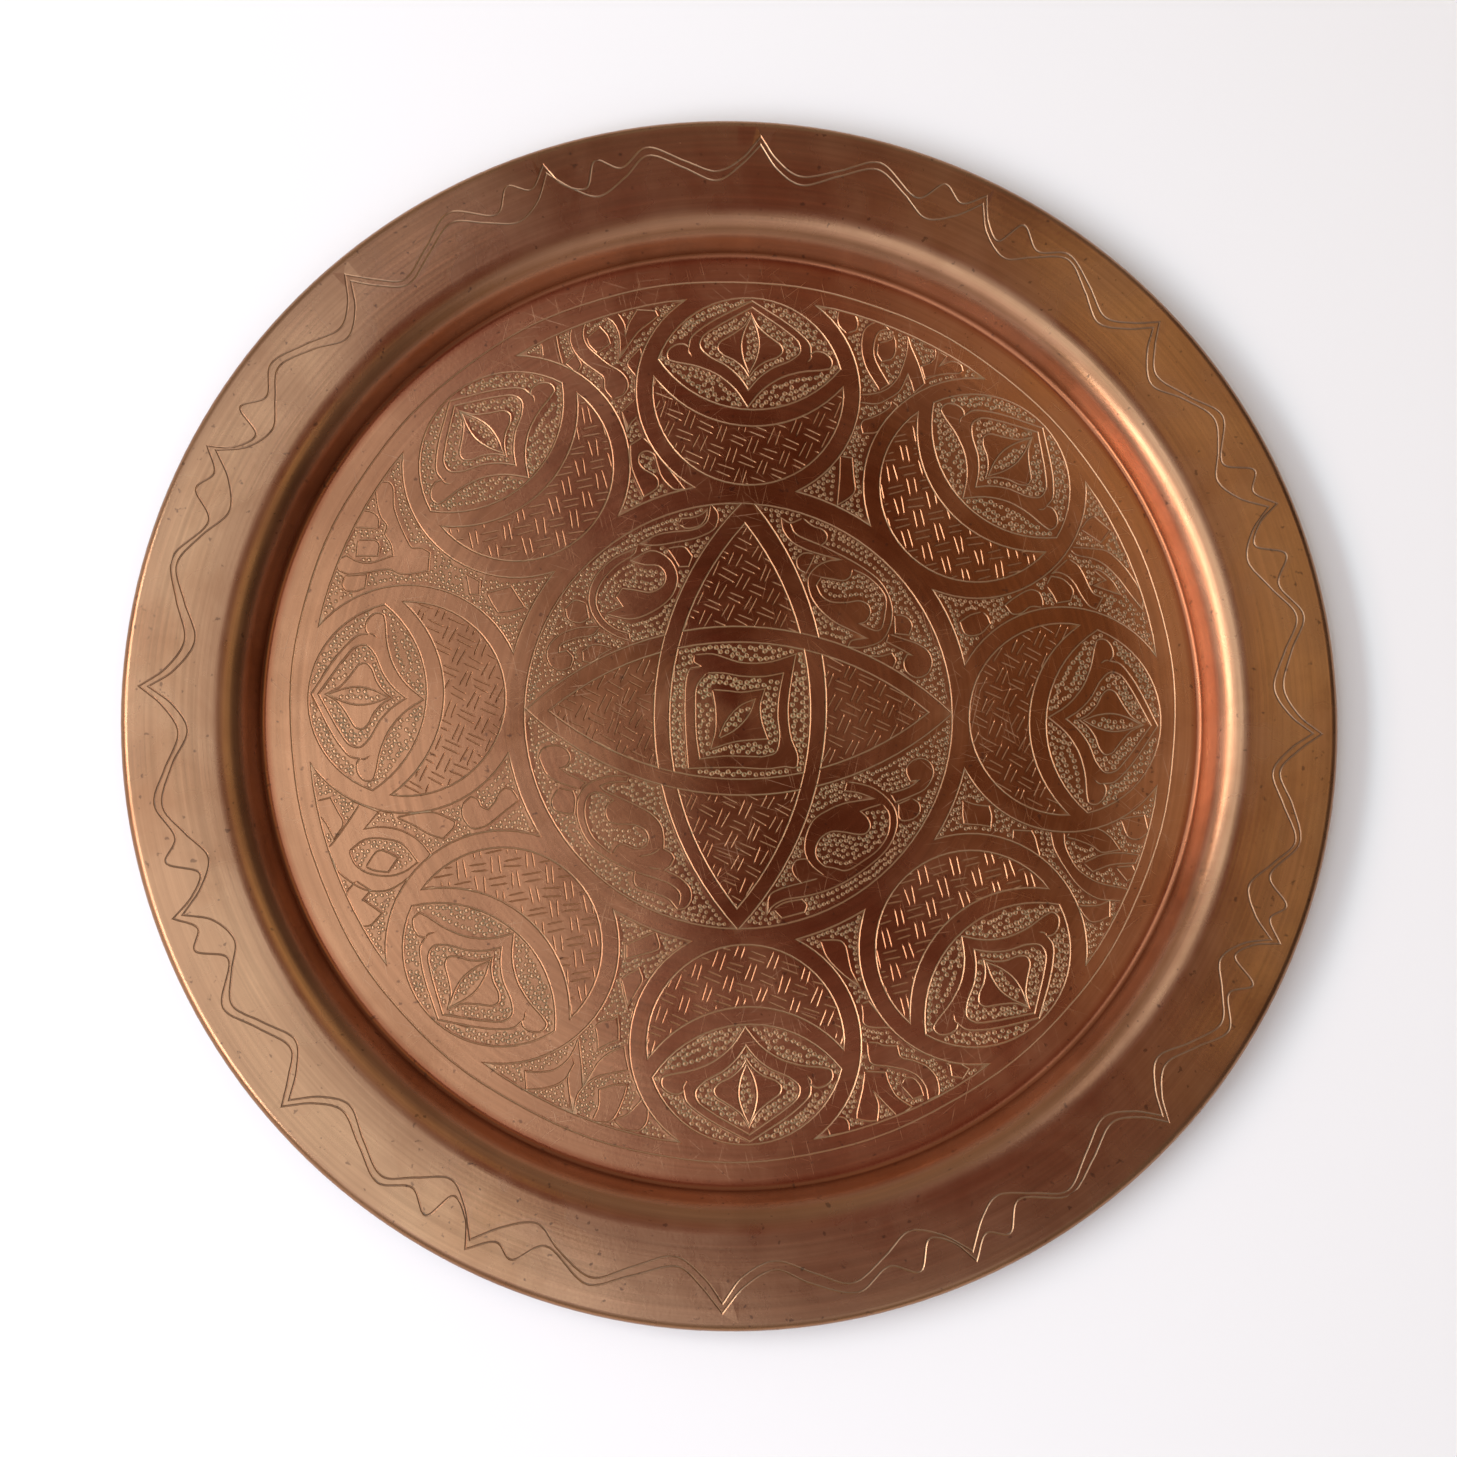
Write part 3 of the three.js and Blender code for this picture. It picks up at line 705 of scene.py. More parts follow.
def punches(ground, lines, spacing, chance):
    """Middle and spacing of the ring punches that fill a ground, set one by one from its lines inwards."""
    border = ground[0]
    low, high = corners_round(border)
    across = np.arange(low.real, high.real, PUNCH_GRID)
    upwards = np.arange(low.imag, high.imag, PUNCH_GRID)
    x, y = np.meshgrid(across, upwards)
    spots = (x + 1j * y).ravel()
    surrounded = sum(inside(outline, spots).astype(int) for outline in ground)
    spots = spots[surrounded % 2 * inside(border, spots) == 1]
    gap = np.min([distance(line, spots) for line in [closed(o) for o in ground] + lines], axis=0)
    clear = PUNCH_CLEAR + PUNCH_SIZE * spacing
    spots, gap = spots[gap > clear], gap[gap > clear]
    row = np.floor((gap - clear) / (PUNCH_ROW * spacing))
    around = np.angle(spots - np.mean(spots))
    kept = []
    free = np.ones(len(spots), dtype=bool)
    for i in np.lexsort((around, row)):
        if free[i]:
            kept.append((complex(spots[i]), spacing))
            free &= np.abs(spots - spots[i]) >= spacing * chance.uniform(0.96, 1.05)
    return kept


def chased_pattern():
    """Every closed outline and open stroke of the tray, the basket weave's strokes and the punches."""
    chance = Random(7)
    places = medallion_places()
    outlines, strokes, weaves, dots = [border_line()], [], [], []
    for to_fancy, to_plain in ((OUTER_TO_FANCY, OUTER_TO_PLAIN), (INNER_TO_FANCY, INNER_TO_PLAIN)):
        outlines.append(brim_line(to_fancy, to_plain, Random(3)))
    for middle, way, tilt in places:
        nested = [moved(outline, middle, way) for outline in palmette()]
        moon = moved(crescent(), middle, way)
        hooks = [moved(smooth(EAR_HOOK), middle, way, flip) for flip in (False, True)]
        outlines += [*nested, moon]
        strokes += hooks
        weaves += weave(moon, tilt, chance)
        dots += punches(nested, hooks, LARGE_PUNCH, chance)
    for i, fill in enumerate(GAP_FILLS):
        way = 90 - 360 / MEDALLIONS * (i + 0.5)
        border = gap_outline(places[i], places[(i + 1) % MEDALLIONS], way)
        middle = PATTERN_CENTRE + GAP_RING * unit(way)
        islands = [shifted(drawn(shape), middle) for shape in fill]
        outlines.append(border)
        for island in islands:
            strokes += kept_inside(closed(island), border)
        dots += punches([border, *islands], [], SMALL_PUNCH, chance)
    grounds, arms, lines = disc()
    for ground in grounds:
        outlines.append(ground[0])
        for shape in ground[1:]:
            strokes += kept_inside(closed(shape), ground[0])
        dots += punches(ground, [], LARGE_PUNCH if ground is grounds[-1] else SMALL_PUNCH, chance)
    strokes += lines
    for arm_outline in arms:
        outlines.append(arm_outline)
        weaves += weave(arm_outline, ARM_TILT, chance)
    return outlines, strokes, weaves, dots


# ---------------------------------------------------------------------------------------------
# The section of the sheet


def reach(radius, from_slope, to_slope):
    """How far out an arc goes between two slopes."""
    return radius * abs(sin(radians(to_slope)) - sin(radians(from_slope)))


def section_parts():
    """The parts of the upper face up to the roll, and the place where the last one ends.

    A part is (start r, start z, start slope, end slope, radius), and a straight one's radius is 0.
    """
    brim = reach(BRIM_RADIUS, BRIM_INNER_SLOPE, BRIM_OUTER_SLOPE)
    shoulder = reach(SHOULDER_RADIUS, WALL_SLOPE, BRIM_INNER_SLOPE)
    wall = WALL_LENGTH * cos(radians(WALL_SLOPE))
    foot = reach(FOOT_RADIUS, 0, WALL_SLOPE)
    level = TRAY_RADIUS - brim - shoulder - wall - foot - reach(ROLL_RADIUS, BRIM_OUTER_SLOPE, -90)
    r, z = level, SHEET
    parts = []
    for radius, start, end in (
        (FOOT_RADIUS, 0, WALL_SLOPE),
        (0, WALL_SLOPE, WALL_SLOPE),
        (SHOULDER_RADIUS, WALL_SLOPE, BRIM_INNER_SLOPE),
        (BRIM_RADIUS, BRIM_INNER_SLOPE, BRIM_OUTER_SLOPE),
    ):
        parts.append((r, z, start, end, radius))
        if radius:
            bend = 1 if end > start else -1
            r += reach(radius, start, end)
            z += bend * radius * (cos(radians(start)) - cos(radians(end)))
        else:
            r += WALL_LENGTH * cos(radians(start))
            z += WALL_LENGTH * sin(radians(start))
    return parts, (r, z)


PARTS, BRIM_END = section_parts()
FLOOR_RADIUS = PARTS[0][0]
ROLL_CENTRE = (BRIM_END[0] + ROLL_RADIUS * sin(radians(BRIM_OUTER_SLOPE)),
               BRIM_END[1] - ROLL_RADIUS * cos(radians(BRIM_OUTER_SLOPE)))


def section_stops(steps_by_radius):
    """Places (r, z, slope) along the upper face, out from the foot: each part takes its own steps."""
    stops = []
    for start_r, start_z, start, end, radius in PARTS:
        steps = steps_by_radius.get(radius, 1)
        bend = 1 if end > start else -1
        for i in range(steps):
            slope = start + (end - start) * i / steps
            r = start_r + bend * radius * (sin(radians(slope)) - sin(radians(start)))
            z = start_z + bend * radius * (cos(radians(start)) - cos(radians(slope)))
            stops.append((r, z, slope))
    return stops


def upper_face(r):
    """Height and slope (as a tangent) of the upper face at each distance from the axis."""
    z = np.full(r.shape, SHEET)
    slope = np.zeros(r.shape)
    for start_r, start_z, start, end, radius in PARTS:
        out = r >= start_r
        if radius:
            bend = 1 if end > start else -1
            sine = np.clip(sin(radians(start)) + bend * (r[out] - start_r) / radius, -0.999, 0.999)
            cosine = np.sqrt(1 - sine**2)
            z[out] = start_z + bend * radius * (cos(radians(start)) - cosine)
            slope[out] = sine / cosine
        else:
            z[out] = start_z + (r[out] - start_r) * tan(radians(start))
            slope[out] = tan(radians(start))
    return z, slope


WAVES = ((95, 0.05), (61, 0.03), (43, 0.018), (27, 0.008))  # length and height


def waves(x, y):
    """How far hand work has pushed the sheet down at a place, and that surface's two slopes."""
    depth, dx, dy = np.zeros(x.shape), np.zeros(x.shape), np.zeros(x.shape)
    chance = Random(11)
    for length, height in WAVES:
        for _ in range(3):
            turn, start = chance.uniform(0, 2 * pi), chance.uniform(0, 2 * pi)
            kx, ky = 2 * pi / length * cos(turn), 2 * pi / length * sin(turn)
            depth += height * (1 + np.sin(kx * x + ky * y + start))
            dx += height * kx * np.cos(kx * x + ky * y + start)
            dy += height * ky * np.cos(kx * x + ky * y + start)
    return depth, dx, dy


# ---------------------------------------------------------------------------------------------
# The chased face as a mesh. Each line is a V-shaped groove, and each punch a six-sided ring groove
# round a little boss.

LINE_WIDTH = 0.74
LINE_DEPTH = 0.22
LINE_TAPER = 0.9  # length over which an open stroke thins out to its end
STROKE_TIP = 0.12  # width of its very end, as a share of its own
STROKE_WIDTH = 0.66  # of the basket weave's strokes and other open lines
LONGEST_STEP = 9.0  # of a line between two of its points
SHORTEST_STEP = 0.2  # that a taper may leave of one
SQUARE_TURN = 0.2  # a corner as sharp as this is cut square
MITRE_LIMIT = 0.6  # and the mitre of any other is kept this short
RING_SIDES = 6
# A punch: depth and residue at the middle of its boss, where less than none keeps the boss clean,
# then radius as a share of the punches' spacing, depth and residue at its groove's bottom and at the
# ground round it
BOSS = (0.0, -1.8)
RING = [(0.38, 0.17, 1.0), (0.49, 0.03, 0.22)]
LINE_RESIDUE = 0.7
WEAVE_RESIDUE = 0.35  # the basket weave is cleaner
RESIDUE_SPREAD = 1.6  # how much sooner than the groove its residue is full
FRESH_DEPTHS = (0.05, 0.15)  # the deeper a cut, the brighter its metal has stayed
CELL_SIDE = 2.0  # of the grid that finds the grooves near a point
RIM_FADE = 3  # the waves die out over this distance from the roll


def way_of(step):
    """The direction of a step, or None where the step is nothing."""
    return step / abs(step) if abs(step) > TINY else None


def line_length(line):
    return sum(abs(b - a) for a, b in zip(line, line[1:]))


def groove_chain(line, width, is_closed):
    """A groove's middle line with its half width at each point, and its two edges."""
    line = [complex(p) for p in line]
    if is_closed:
        ahead = line[1:] + line[:1]
        behind = line[-1:] + line[:-1]
    else:
        ahead = line[1:] + line[-1:]
        behind = line[:1] + line[:-1]
    halves, left, right = [], [], []
    total = line_length(line)
    gone = 0.0
    for i, (p, a, b) in enumerate(zip(line, ahead, behind)):
        if i:
            gone += abs(p - line[i - 1])
        half = width / 2
        if not is_closed:
            half *= min(1.0, STROKE_TIP + min(gone, total - gone) / LINE_TAPER)
        way_in = way_of(p - b) or way_of(a - p)
        way_out = way_of(a - p) or way_in
        way = way_in + way_out
        way = way / abs(way) if abs(way) > SQUARE_TURN else way_in
        lean = max(MITRE_LIMIT, abs((way * way_in.conjugate()).real))
        halves.append(half)
        left.append(p + 1j * way * half / lean)
        right.append(p - 1j * way * half / lean)
    return line, halves, left, right


def cell(numbers):
    """The rows or columns of the grid that some numbers fall in."""
    return np.floor(numbers / CELL_SIDE).astype(int)


class Engraving:
    """Gathers the points and edges that the face's triangles keep, then says how deep a point is."""

    def __init__(self):
        self.points, self.edges, self.segments = [], [], []
        self.fixed = {}  # depth and residue at the punches' own points

    def add_line(self, points, is_closed):
        """Takes in a line whose steps are edges of triangles."""
        first = len(self.points)
        self.points += points
        last = len(self.points) - 1
        self.edges += [(i, i + 1) for i in range(first, last)]
        if is_closed:
            self.edges.append((last, first))

    def groove(self, line, width, residue, is_closed=False):
        """Takes in a V-shaped groove along a line."""
        line = split_long(line, is_closed)
        if not is_closed:
            line = with_taper_points(line)
        middle, halves, left, right = groove_chain(line, width, is_closed)
        for points in (middle, left, right):
            self.add_line(points, is_closed)
        ends = list(zip(middle, halves))
        pairs = list(zip(ends, ends[1:])) + ([(ends[-1], ends[0])] if is_closed else [])
        self.segments += [(a, b, ha, hb, residue) for (a, ha), (b, hb) in pairs]

    def ring(self, middle, spacing, chance):
        """Takes in a ring punch."""
        turn = chance.uniform(0, 360 / RING_SIDES)
        size = spacing * chance.uniform(0.94, 1.0)
        self.fixed[len(self.points)] = BOSS
        self.points.append(middle)
        for radius, depth, residue in RING:
            for i in range(RING_SIDES):
                self.fixed[len(self.points)] = (depth, residue)
                self.points.append(middle + radius * size * unit(turn + 360 / RING_SIDES * i))

    def depth(self, xy):
        """Depth and residue of the grooves at each point."""
        a, b, ha, hb, dirt = (np.array(column) for column in zip(*self.segments))
        out = np.maximum(ha, hb)
        low_x = cell(np.minimum(a.real, b.real) - out)
        high_x = cell(np.maximum(a.real, b.real) + out)
        low_y = cell(np.minimum(a.imag, b.imag) - out)
        high_y = cell(np.maximum(a.imag, b.imag) + out)
        cells = {}
        for i in range(len(a)):
            for x in range(low_x[i], high_x[i] + 1):
                for y in range(low_y[i], high_y[i] + 1):
                    cells.setdefault((x, y), []).append(i)
        where = cell(np.stack([xy.real, xy.imag], 1))
        order = np.lexsort((where[:, 1], where[:, 0]))
        breaks = np.flatnonzero(np.any(np.diff(where[order], axis=0), axis=1)) + 1
        cut, residue = np.zeros(len(xy)), np.zeros(len(xy))
        for group in np.split(order, breaks):
            found = cells.get(tuple(where[group[0]]))
            if not found:
                continue
            p = xy[group][:, None]
            s, e = a[found][None], b[found][None]
            along = np.clip(((p - s) * (e - s).conj()).real / (np.abs(e - s) ** 2 + 1e-12), 0, 1)
            gap = np.abs(p - s - along * (e - s))
            half = ha[found] * (1 - along) + hb[found] * along
            share = np.clip(1 - gap / half, 0, 1) * np.minimum(1, half / (STROKE_WIDTH / 2))
            cut[group] = share.max(axis=1)
            residue[group] = np.clip(cut[group] * RESIDUE_SPREAD, 0, 1) * dirt[found][share.argmax(axis=1)]
        return cut * LINE_DEPTH, residue


def split_long(line, is_closed):
    """Adds points so that no step of a line is so long that its groove would cut a corner."""
    ends = [*line, line[0]] if is_closed else line
    points = []
    for a, b in zip(ends, ends[1:]):
        if abs(b - a) < 1e-4:
            continue
        steps = max(1, ceil(abs(b - a) / LONGEST_STEP))
        points += [a + (b - a) * i / steps for i in range(steps)]
    return points if is_closed else [*points, ends[-1]]


def with_taper_points(line):
    """Adds the points where an open stroke stops thinning."""
    total = line_length(line)
    taper = min(LINE_TAPER, total / 2.5)
    points, gone = [line[0]], 0.0
    for a, b in zip(line, line[1:]):
        step = abs(b - a)
        for stop in (taper, total - taper):
            if gone + SHORTEST_STEP < stop < gone + step - SHORTEST_STEP:
                points.append(a + (b - a) * (stop - gone) / step)
        points.append(b)
        gone += step
    return points


def circle_points(radius):
    return [radius * unit(360 * i / SIDES) for i in range(SIDES)]


def chased_face():
    """Points, triangles, groove depth and residue of the upper face, out to the end of the brim."""
    engraving = Engraving()
    outlines, strokes, weaves, dots = chased_pattern()
    engraving.points += circle_points(BRIM_END[0])  # first, so that the roll can share them
    for r, _, _ in section_stops({FOOT_RADIUS: 3, SHOULDER_RADIUS: 5, BRIM_RADIUS: 4}):
        engraving.add_line(circle_points(r), True)
    for outline in outlines:
        engraving.groove(outline, LINE_WIDTH, LINE_RESIDUE, True)
    for stroke in strokes:
        engraving.groove(stroke, STROKE_WIDTH, LINE_RESIDUE)
    for stroke in weaves:
        engraving.groove(stroke, STROKE_WIDTH, WEAVE_RESIDUE)
    chance = Random(5)
    for middle, spacing in dots:
        engraving.ring(middle, spacing, chance)
    flat = [Vector((p.real, p.imag)) for p in engraving.points]
    xy, _, faces, origins, _, _ = delaunay_2d_cdt(flat, engraving.edges, [], 0, 1e-5)
    xy = np.array([complex(*p) for p in xy])
    depth, residue = engraving.depth(xy)
    rim = np.zeros(SIDES, dtype=int)
    for i, origin in enumerate(origins):
        for source in origin:
            if source < SIDES:
                rim[source] = i
            if source in engraving.fixed:
                own_depth, own_residue = engraving.fixed[source]
                depth[i] = max(depth[i], own_depth)
                residue[i] = own_residue if residue[i] < 0.1 else max(residue[i], own_residue)
    faces = np.array([f for f in faces if len(f) == 3])
    a, b, c = (xy[faces[:, i]] for i in range(3))
    turned = ((b - a).conj() * (c - a)).imag < 0
    faces[turned] = faces[turned][:, ::-1]
    return xy, faces, depth, residue, rim


def roll_ring(radius, angle, slope):
    """A ring (r, z, slope) on a circle round the roll's centre."""
    r, z = ROLL_CENTRE
    return r - radius * sin(radians(angle)), z + radius * cos(radians(angle)), slope


def roll_and_underside():
    """Rings (r, z, slope) from the brim's end round the roll and back under the sheet to its middle."""
    inner = ROLL_RADIUS - SHEET
    turn = ROLL_END_SLOPE - BRIM_OUTER_SLOPE
    outer_steps, inner_steps = 16, 10
    rings = []
    for i in range(1, outer_steps + 1):
        slope = BRIM_OUTER_SLOPE + turn * i / outer_steps
        rings.append(roll_ring(ROLL_RADIUS, slope, slope))
    over = ROLL_END_SLOPE - 5  # the cut edge of the sheet is slightly rounded
    rings.append(roll_ring(ROLL_RADIUS - SHEET / 2, over, over - 90))
    for i in range(inner_steps + 1):
        slope = ROLL_END_SLOPE - turn * i / inner_steps
        rings.append(roll_ring(inner, slope, slope + 180))
    for r, z, slope in reversed(section_stops({FOOT_RADIUS: 4, SHOULDER_RADIUS: 5, BRIM_RADIUS: 4})):
        rings.append((r + SHEET * sin(radians(slope)), z - SHEET * cos(radians(slope)), slope + 180))
    rings += [(FLOOR_RADIUS * share, 0.0, 180) for share in (0.75, 0.5, 0.25)]
    return rings


def new_piece(name, mesh_name, points, faces):
    """An object with a mesh of its own, in the scene."""
    mesh = bpy.data.meshes.new(mesh_name)
    mesh.from_pydata(points, [], faces)
    mesh.update()
    piece = bpy.data.objects.new(name, mesh)
    bpy.context.collection.objects.link(piece)
    return piece


def tray_sheet():
    """The chased sheet as one closed mesh, with its residue and its fresh metal as attributes."""
    xy, faces, depth, residue, rim = chased_face()
    r = np.abs(xy)
    z, slope = upper_face(r)
    sunk, wave_x, wave_y = waves(xy.real, xy.imag)
    way = xy / np.maximum(r, TINY)
    normals = np.stack([-slope * way.real + wave_x, -slope * way.imag + wave_y, np.ones(len(xy))], 1)
    normals /= np.linalg.norm(normals, axis=1)[:, None]
    fade = np.clip((BRIM_END[0] - r) / RIM_FADE, 0, 1)
    points = np.stack([xy.real, xy.imag, z - sunk * fade - SKIN], 1) - normals * depth[:, None]
    points, normals = list(points), list(normals)
    low, high = FRESH_DEPTHS
    fresh = np.clip((depth - low) / (high - low), 0, 1)
    all_faces = [tuple(f) for f in faces]
    flat = [bool(np.ptp(depth[f]) > 1e-6) for f in faces]
    before = rim
    for ring_r, ring_z, ring_slope in roll_and_underside():
        lean = radians(ring_slope)
        first = len(points)
        for i in range(SIDES):
            u = unit(360 * i / SIDES)
            points.append(np.array([ring_r * u.real, ring_r * u.imag, ring_z]))
            normals.append(np.array([-sin(lean) * u.real, -sin(lean) * u.imag, cos(lean)]))
        now = np.arange(first, first + SIDES)
        for i in range(SIDES):
            j = (i + 1) % SIDES
            all_faces.append((int(before[i]), int(now[i]), int(now[j]), int(before[j])))
        before = now
    pole = len(points)
    points.append(np.array([0.0, 0.0, 0.0]))
    normals.append(np.array([0.0, 0.0, -1.0]))
    for i in range(SIDES):
        all_faces.append((int(before[i]), pole, int(before[(i + 1) % SIDES])))
    scale = MM * (1 - SKIN / TRAY_RADIUS)
    piece = new_piece("chased_tray_sheet", "tray_sheet_fine", [tuple(p * scale) for p in points], all_faces)
    mesh = piece.data
    below = [0.0] * (len(points) - len(xy))
    for name, values in (("residue", residue), ("fresh", fresh)):
        store = mesh.attributes.new(name, "FLOAT", "POINT")
        store.data.foreach_set("value", np.array([*values, *below], dtype=np.float32))
    # the sides of a cut are flat, and everything else is as smooth as its own surface
    flat += [False] * (len(all_faces) - len(faces))
    custom = []
    for face, is_flat in zip(mesh.polygons, flat):
        if is_flat:
            custom += [face.normal[:]] * len(face.vertices)
        else:
            custom += [tuple(normals[v]) for v in face.vertices]
    mesh.polygons.foreach_set("use_smooth", [True] * len(mesh.polygons))
    mesh.normals_split_custom_set(custom)
    return piece


WIRE_CHAMFER = 0.3
WIRE_SIDES = 24


def rim_wire():
    """The steel wire in the roll, with its two ends butted together at the right of the tray."""
    middle_r, middle_z = ROLL_CENTRE
    gap = degrees(WIRE_BUTT_GAP / middle_r)
    first = gap / 2 + degrees(WIRE_CHAMFER / middle_r)
    stations = [(gap / 2, WIRE_RADIUS - WIRE_CHAMFER)]
    stations += [(first + (360 - 2 * first) * i / SIDES, WIRE_RADIUS) for i in range(SIDES + 1)]
    stations.append((360 - gap / 2, WIRE_RADIUS - WIRE_CHAMFER))
    points, faces = [], []
    for angle, radius in stations:
        u = unit(angle)
        for j in range(WIRE_SIDES):
            v = unit(360 * j / WIRE_SIDES)
            out = (middle_r + (radius - SKIN) * v.real) * u
            points.append((out.real * MM, out.imag * MM, (middle_z + (radius - SKIN) * v.imag) * MM))
    for i in range(0, len(points) - WIRE_SIDES, WIRE_SIDES):
        for j in range(WIRE_SIDES):
            k = (j + 1) % WIRE_SIDES
            faces.append((i + j, i + WIRE_SIDES + j, i + WIRE_SIDES + k, i + k))
    faces.append(tuple(range(WIRE_SIDES)))
    faces.append(tuple(reversed(range(len(points) - WIRE_SIDES, len(points)))))
    piece = new_piece("rolled_in_wire", "rim_wire_fine", points, faces)
    piece.data.polygons.foreach_set("use_smooth", [len(p.vertices) == 4 for p in piece.data.polygons])
    return piece


# ---------------------------------------------------------------------------------------------
# Materials


class Nodes:
    """A small helper that adds nodes to a material or a world and links them."""

    def __init__(self, owner, shader):
        owner.use_nodes = True
        self.owner = owner
        self.tree = owner.node_tree
        self.shader = self.tree.nodes[shader]

    def add(self, kind, **inputs):
        node = self.tree.nodes.new(kind)
        for key, value in inputs.items():
            self.set(node, key, value)
        return node

    def set(self, node, key, value):
        """Gives an input a fixed value, or links it to another node's output."""
        socket = node.inputs[key.replace("_", " ") if isinstance(key, str) else key]
        if isinstance(value, bpy.types.NodeSocket):
            self.tree.links.new(value, socket)
        elif socket.type == "RGBA":
            socket.default_value = (*value, 1.0)
        else:
            socket.default_value = value

    def noise(self, place, scale, detail=3.0, roughness=0.5, distortion=0.0):
        node = self.add("ShaderNodeTexNoise", Vector=place, Scale=scale, Detail=detail,
                        Roughness=roughness, Distortion=distortion)
        return node.outputs["Fac"]

    def stretch(self, value, low, high, to_low=0.0, to_high=1.0):
        """A value that goes from one number to another as its source goes from low to high."""
        node = self.add("ShaderNodeMapRange", Value=value, From_Min=low, From_Max=high,
                        To_Min=to_low, To_Max=to_high)
        return node.outputs[0]

    def band(self, value, start, end):
        """One between where a band starts and where it ends, and nought outside it."""
        return self.math("SUBTRACT", self.stretch(value, *start), self.stretch(value, *end))

    def math(self, operation, a, b):
        node = self.tree.nodes.new("ShaderNodeMath")
        node.operation = operation
        self.set(node, 0, a)
        self.set(node, 1, b)
        return node.outputs[0]

    def plus(self, a, b):
        return self.math("ADD", a, b)

    def times(self, a, b):
        return self.math("MULTIPLY", a, b)

    def vector(self, operation, a, b):
        node = self.tree.nodes.new("ShaderNodeVectorMath")
        node.operation = operation
        self.set(node, 0, a)
        self.set(node, 1, b)
        return node.outputs["Value" if operation in ("LENGTH", "DISTANCE", "DOT_PRODUCT") else "Vector"]

    def mix(self, share, a, b):
        """One colour giving way to another."""
        node = self.tree.nodes.new("ShaderNodeMix")
        node.data_type = "RGBA"
        self.set(node, 0, share)
        self.set(node, 6, a)
        self.set(node, 7, b)
        return node.outputs[2]

    def attribute(self, name):
        node = self.add("ShaderNodeAttribute")
        node.attribute_name = name
        return node.outputs["Fac"]

    def streaks(self, place, turn, length, width):
        """Noise drawn out into streaks, as long and as wide as given, that lie at an angle."""
        node = self.add("ShaderNodeMapping", Vector=place, Rotation=(0, 0, radians(turn)),
                        Scale=(length, width, 1))
        node.vector_type = "TEXTURE"
        return self.noise(node.outputs[0], 1.0, 1.0)

    def bump(self, height, strength, distance, before=None):
        node = self.add("ShaderNodeBump", Strength=strength, Distance=distance, Height=height)
        if before is not None:
            self.set(node, "Normal", before)
        return node.outputs[0]


COPPER = (0.40, 0.172, 0.075)
BRIM_COPPER = (0.345, 0.168, 0.078)  # handled less, and so yellower
FOOT_SHADE_COPPER = (0.31, 0.1, 0.04)  # painted shade: darker and redder in the corner where the floor turns up into the wall
WALL_COPPER = (0.68, 0.33, 0.18)  # rubbed bright
# darkens the floor both as real tarnish blotches and as a painted shade patch
TARNISH_AND_SHADE = (0.19, 0.062, 0.021)
# scratches are real wear; their lighter colour is a painted glint of the window light they scatter
SCRATCH_GLINT_COPPER = (0.62, 0.36, 0.2)
FRESH_COPPER = (0.55, 0.28, 0.13)  # in the deeper cuts
PITS = (0.05, 0.025, 0.018)
RESIDUE = (0.185, 0.118, 0.042)  # dried polish left in the grooves of the floor
GOLDEN_RESIDUE = (0.225, 0.16, 0.056)  # in the middle of the tray
BRIM_RESIDUE = (0.11, 0.078, 0.04)
STEEL = (0.42, 0.4, 0.38)
RUST = (0.16, 0.07, 0.035)
# Distances from the axis, in metres, over which one part of the tray gives way to the next
MIDDLE_END = (0.03, 0.05)
FLOOR_END = (0.150, 0.156)
FOOT_START = (0.153, 0.1548)
FOOT_END = (0.1566, 0.158)
WALL_START = (0.157, 0.1585)
WALL_END = (0.1605, 0.1625)
BRIM_START = (0.162, 0.166)
BRIM_COLOUR_START = (0.162, 0.168)
# A painted shade patch lies over the middle of the floor and to the right of it, on the side away from the
# window, and fades to nothing; real tarnish blotches lie over it
SHADE_PATCH_MIDDLE = (0.06, 0.03, 0)
SHADE_PATCH_FADE = (0.06, 0.16)  # distances from its middle over which it fades
SHADE_PATCH_FLOOR_FADE = (0.128, 0.152)  # and distances from the tray's axis
RINGS_ACROSS = 700.0  # noise cells to a metre of radius: spinning left fine rings
RINGS_ALONG = 1.3  # and for each radian round the axis
WIPES = (100, 0.09, 0.012)  # the way a cloth wiped the tray, and its streaks' length and width
# The way that each set of scratches lies, its length and width, and how rare it is
SCRATCHES = [(8, 0.022, 0.0005, 0.7), (38, 0.016, 0.0004, 0.71), (77, 0.03, 0.0005, 0.7),
             (104, 0.02, 0.00045, 0.69), (139, 0.018, 0.0004, 0.71), (163, 0.03, 0.0006, 0.71)]


def tarnish_and_shade_share(n, place, level, radius):
    """How dark the copper is made: painted shade most near the patch's middle, and real tarnish in
    blotches.
    """
    near = n.stretch(n.vector("DISTANCE", level, SHADE_PATCH_MIDDLE), *SHADE_PATCH_FADE, 1.0, 0.0)
    shade_patch = n.times(near, n.stretch(radius, *SHADE_PATCH_FLOOR_FADE, 1.0, 0.0))
    blotches = n.stretch(n.noise(place, 14, 5.0, 0.6, 0.6), 0.36, 0.68, -0.3, 0.4)
    return n.stretch(n.plus(shade_patch, blotches), 0.0, 1.0)


def spun_rings(n, level, radius):
    """Fine rings that go once round the axis."""
    around = n.vector("MULTIPLY", n.vector("NORMALIZE", level, level), (RINGS_ALONG, RINGS_ALONG, 0))
    outwards = n.add("ShaderNodeCombineXYZ", Z=n.times(radius, RINGS_ACROSS)).outputs[0]
    return n.noise(n.vector("ADD", around, outwards), 1.0, 4.0, 0.65)


def scratch_marks(n, place, radius):
    """Scratches, on the floor only and most where it is worn."""
    marks = None
    for turn, length, width, rare in SCRATCHES:
        one = n.stretch(n.streaks(place, turn, length, width), rare, rare + 0.05)
        marks = one if marks is None else n.math("MAXIMUM", marks, one)
    worn = n.stretch(n.noise(place, 20, 3.0, 0.5, 0.4), 0.42, 0.6, 0.12, 1.0)
    return n.times(marks, n.times(worn, n.stretch(radius, *FLOOR_END, 1.0, 0.0)))


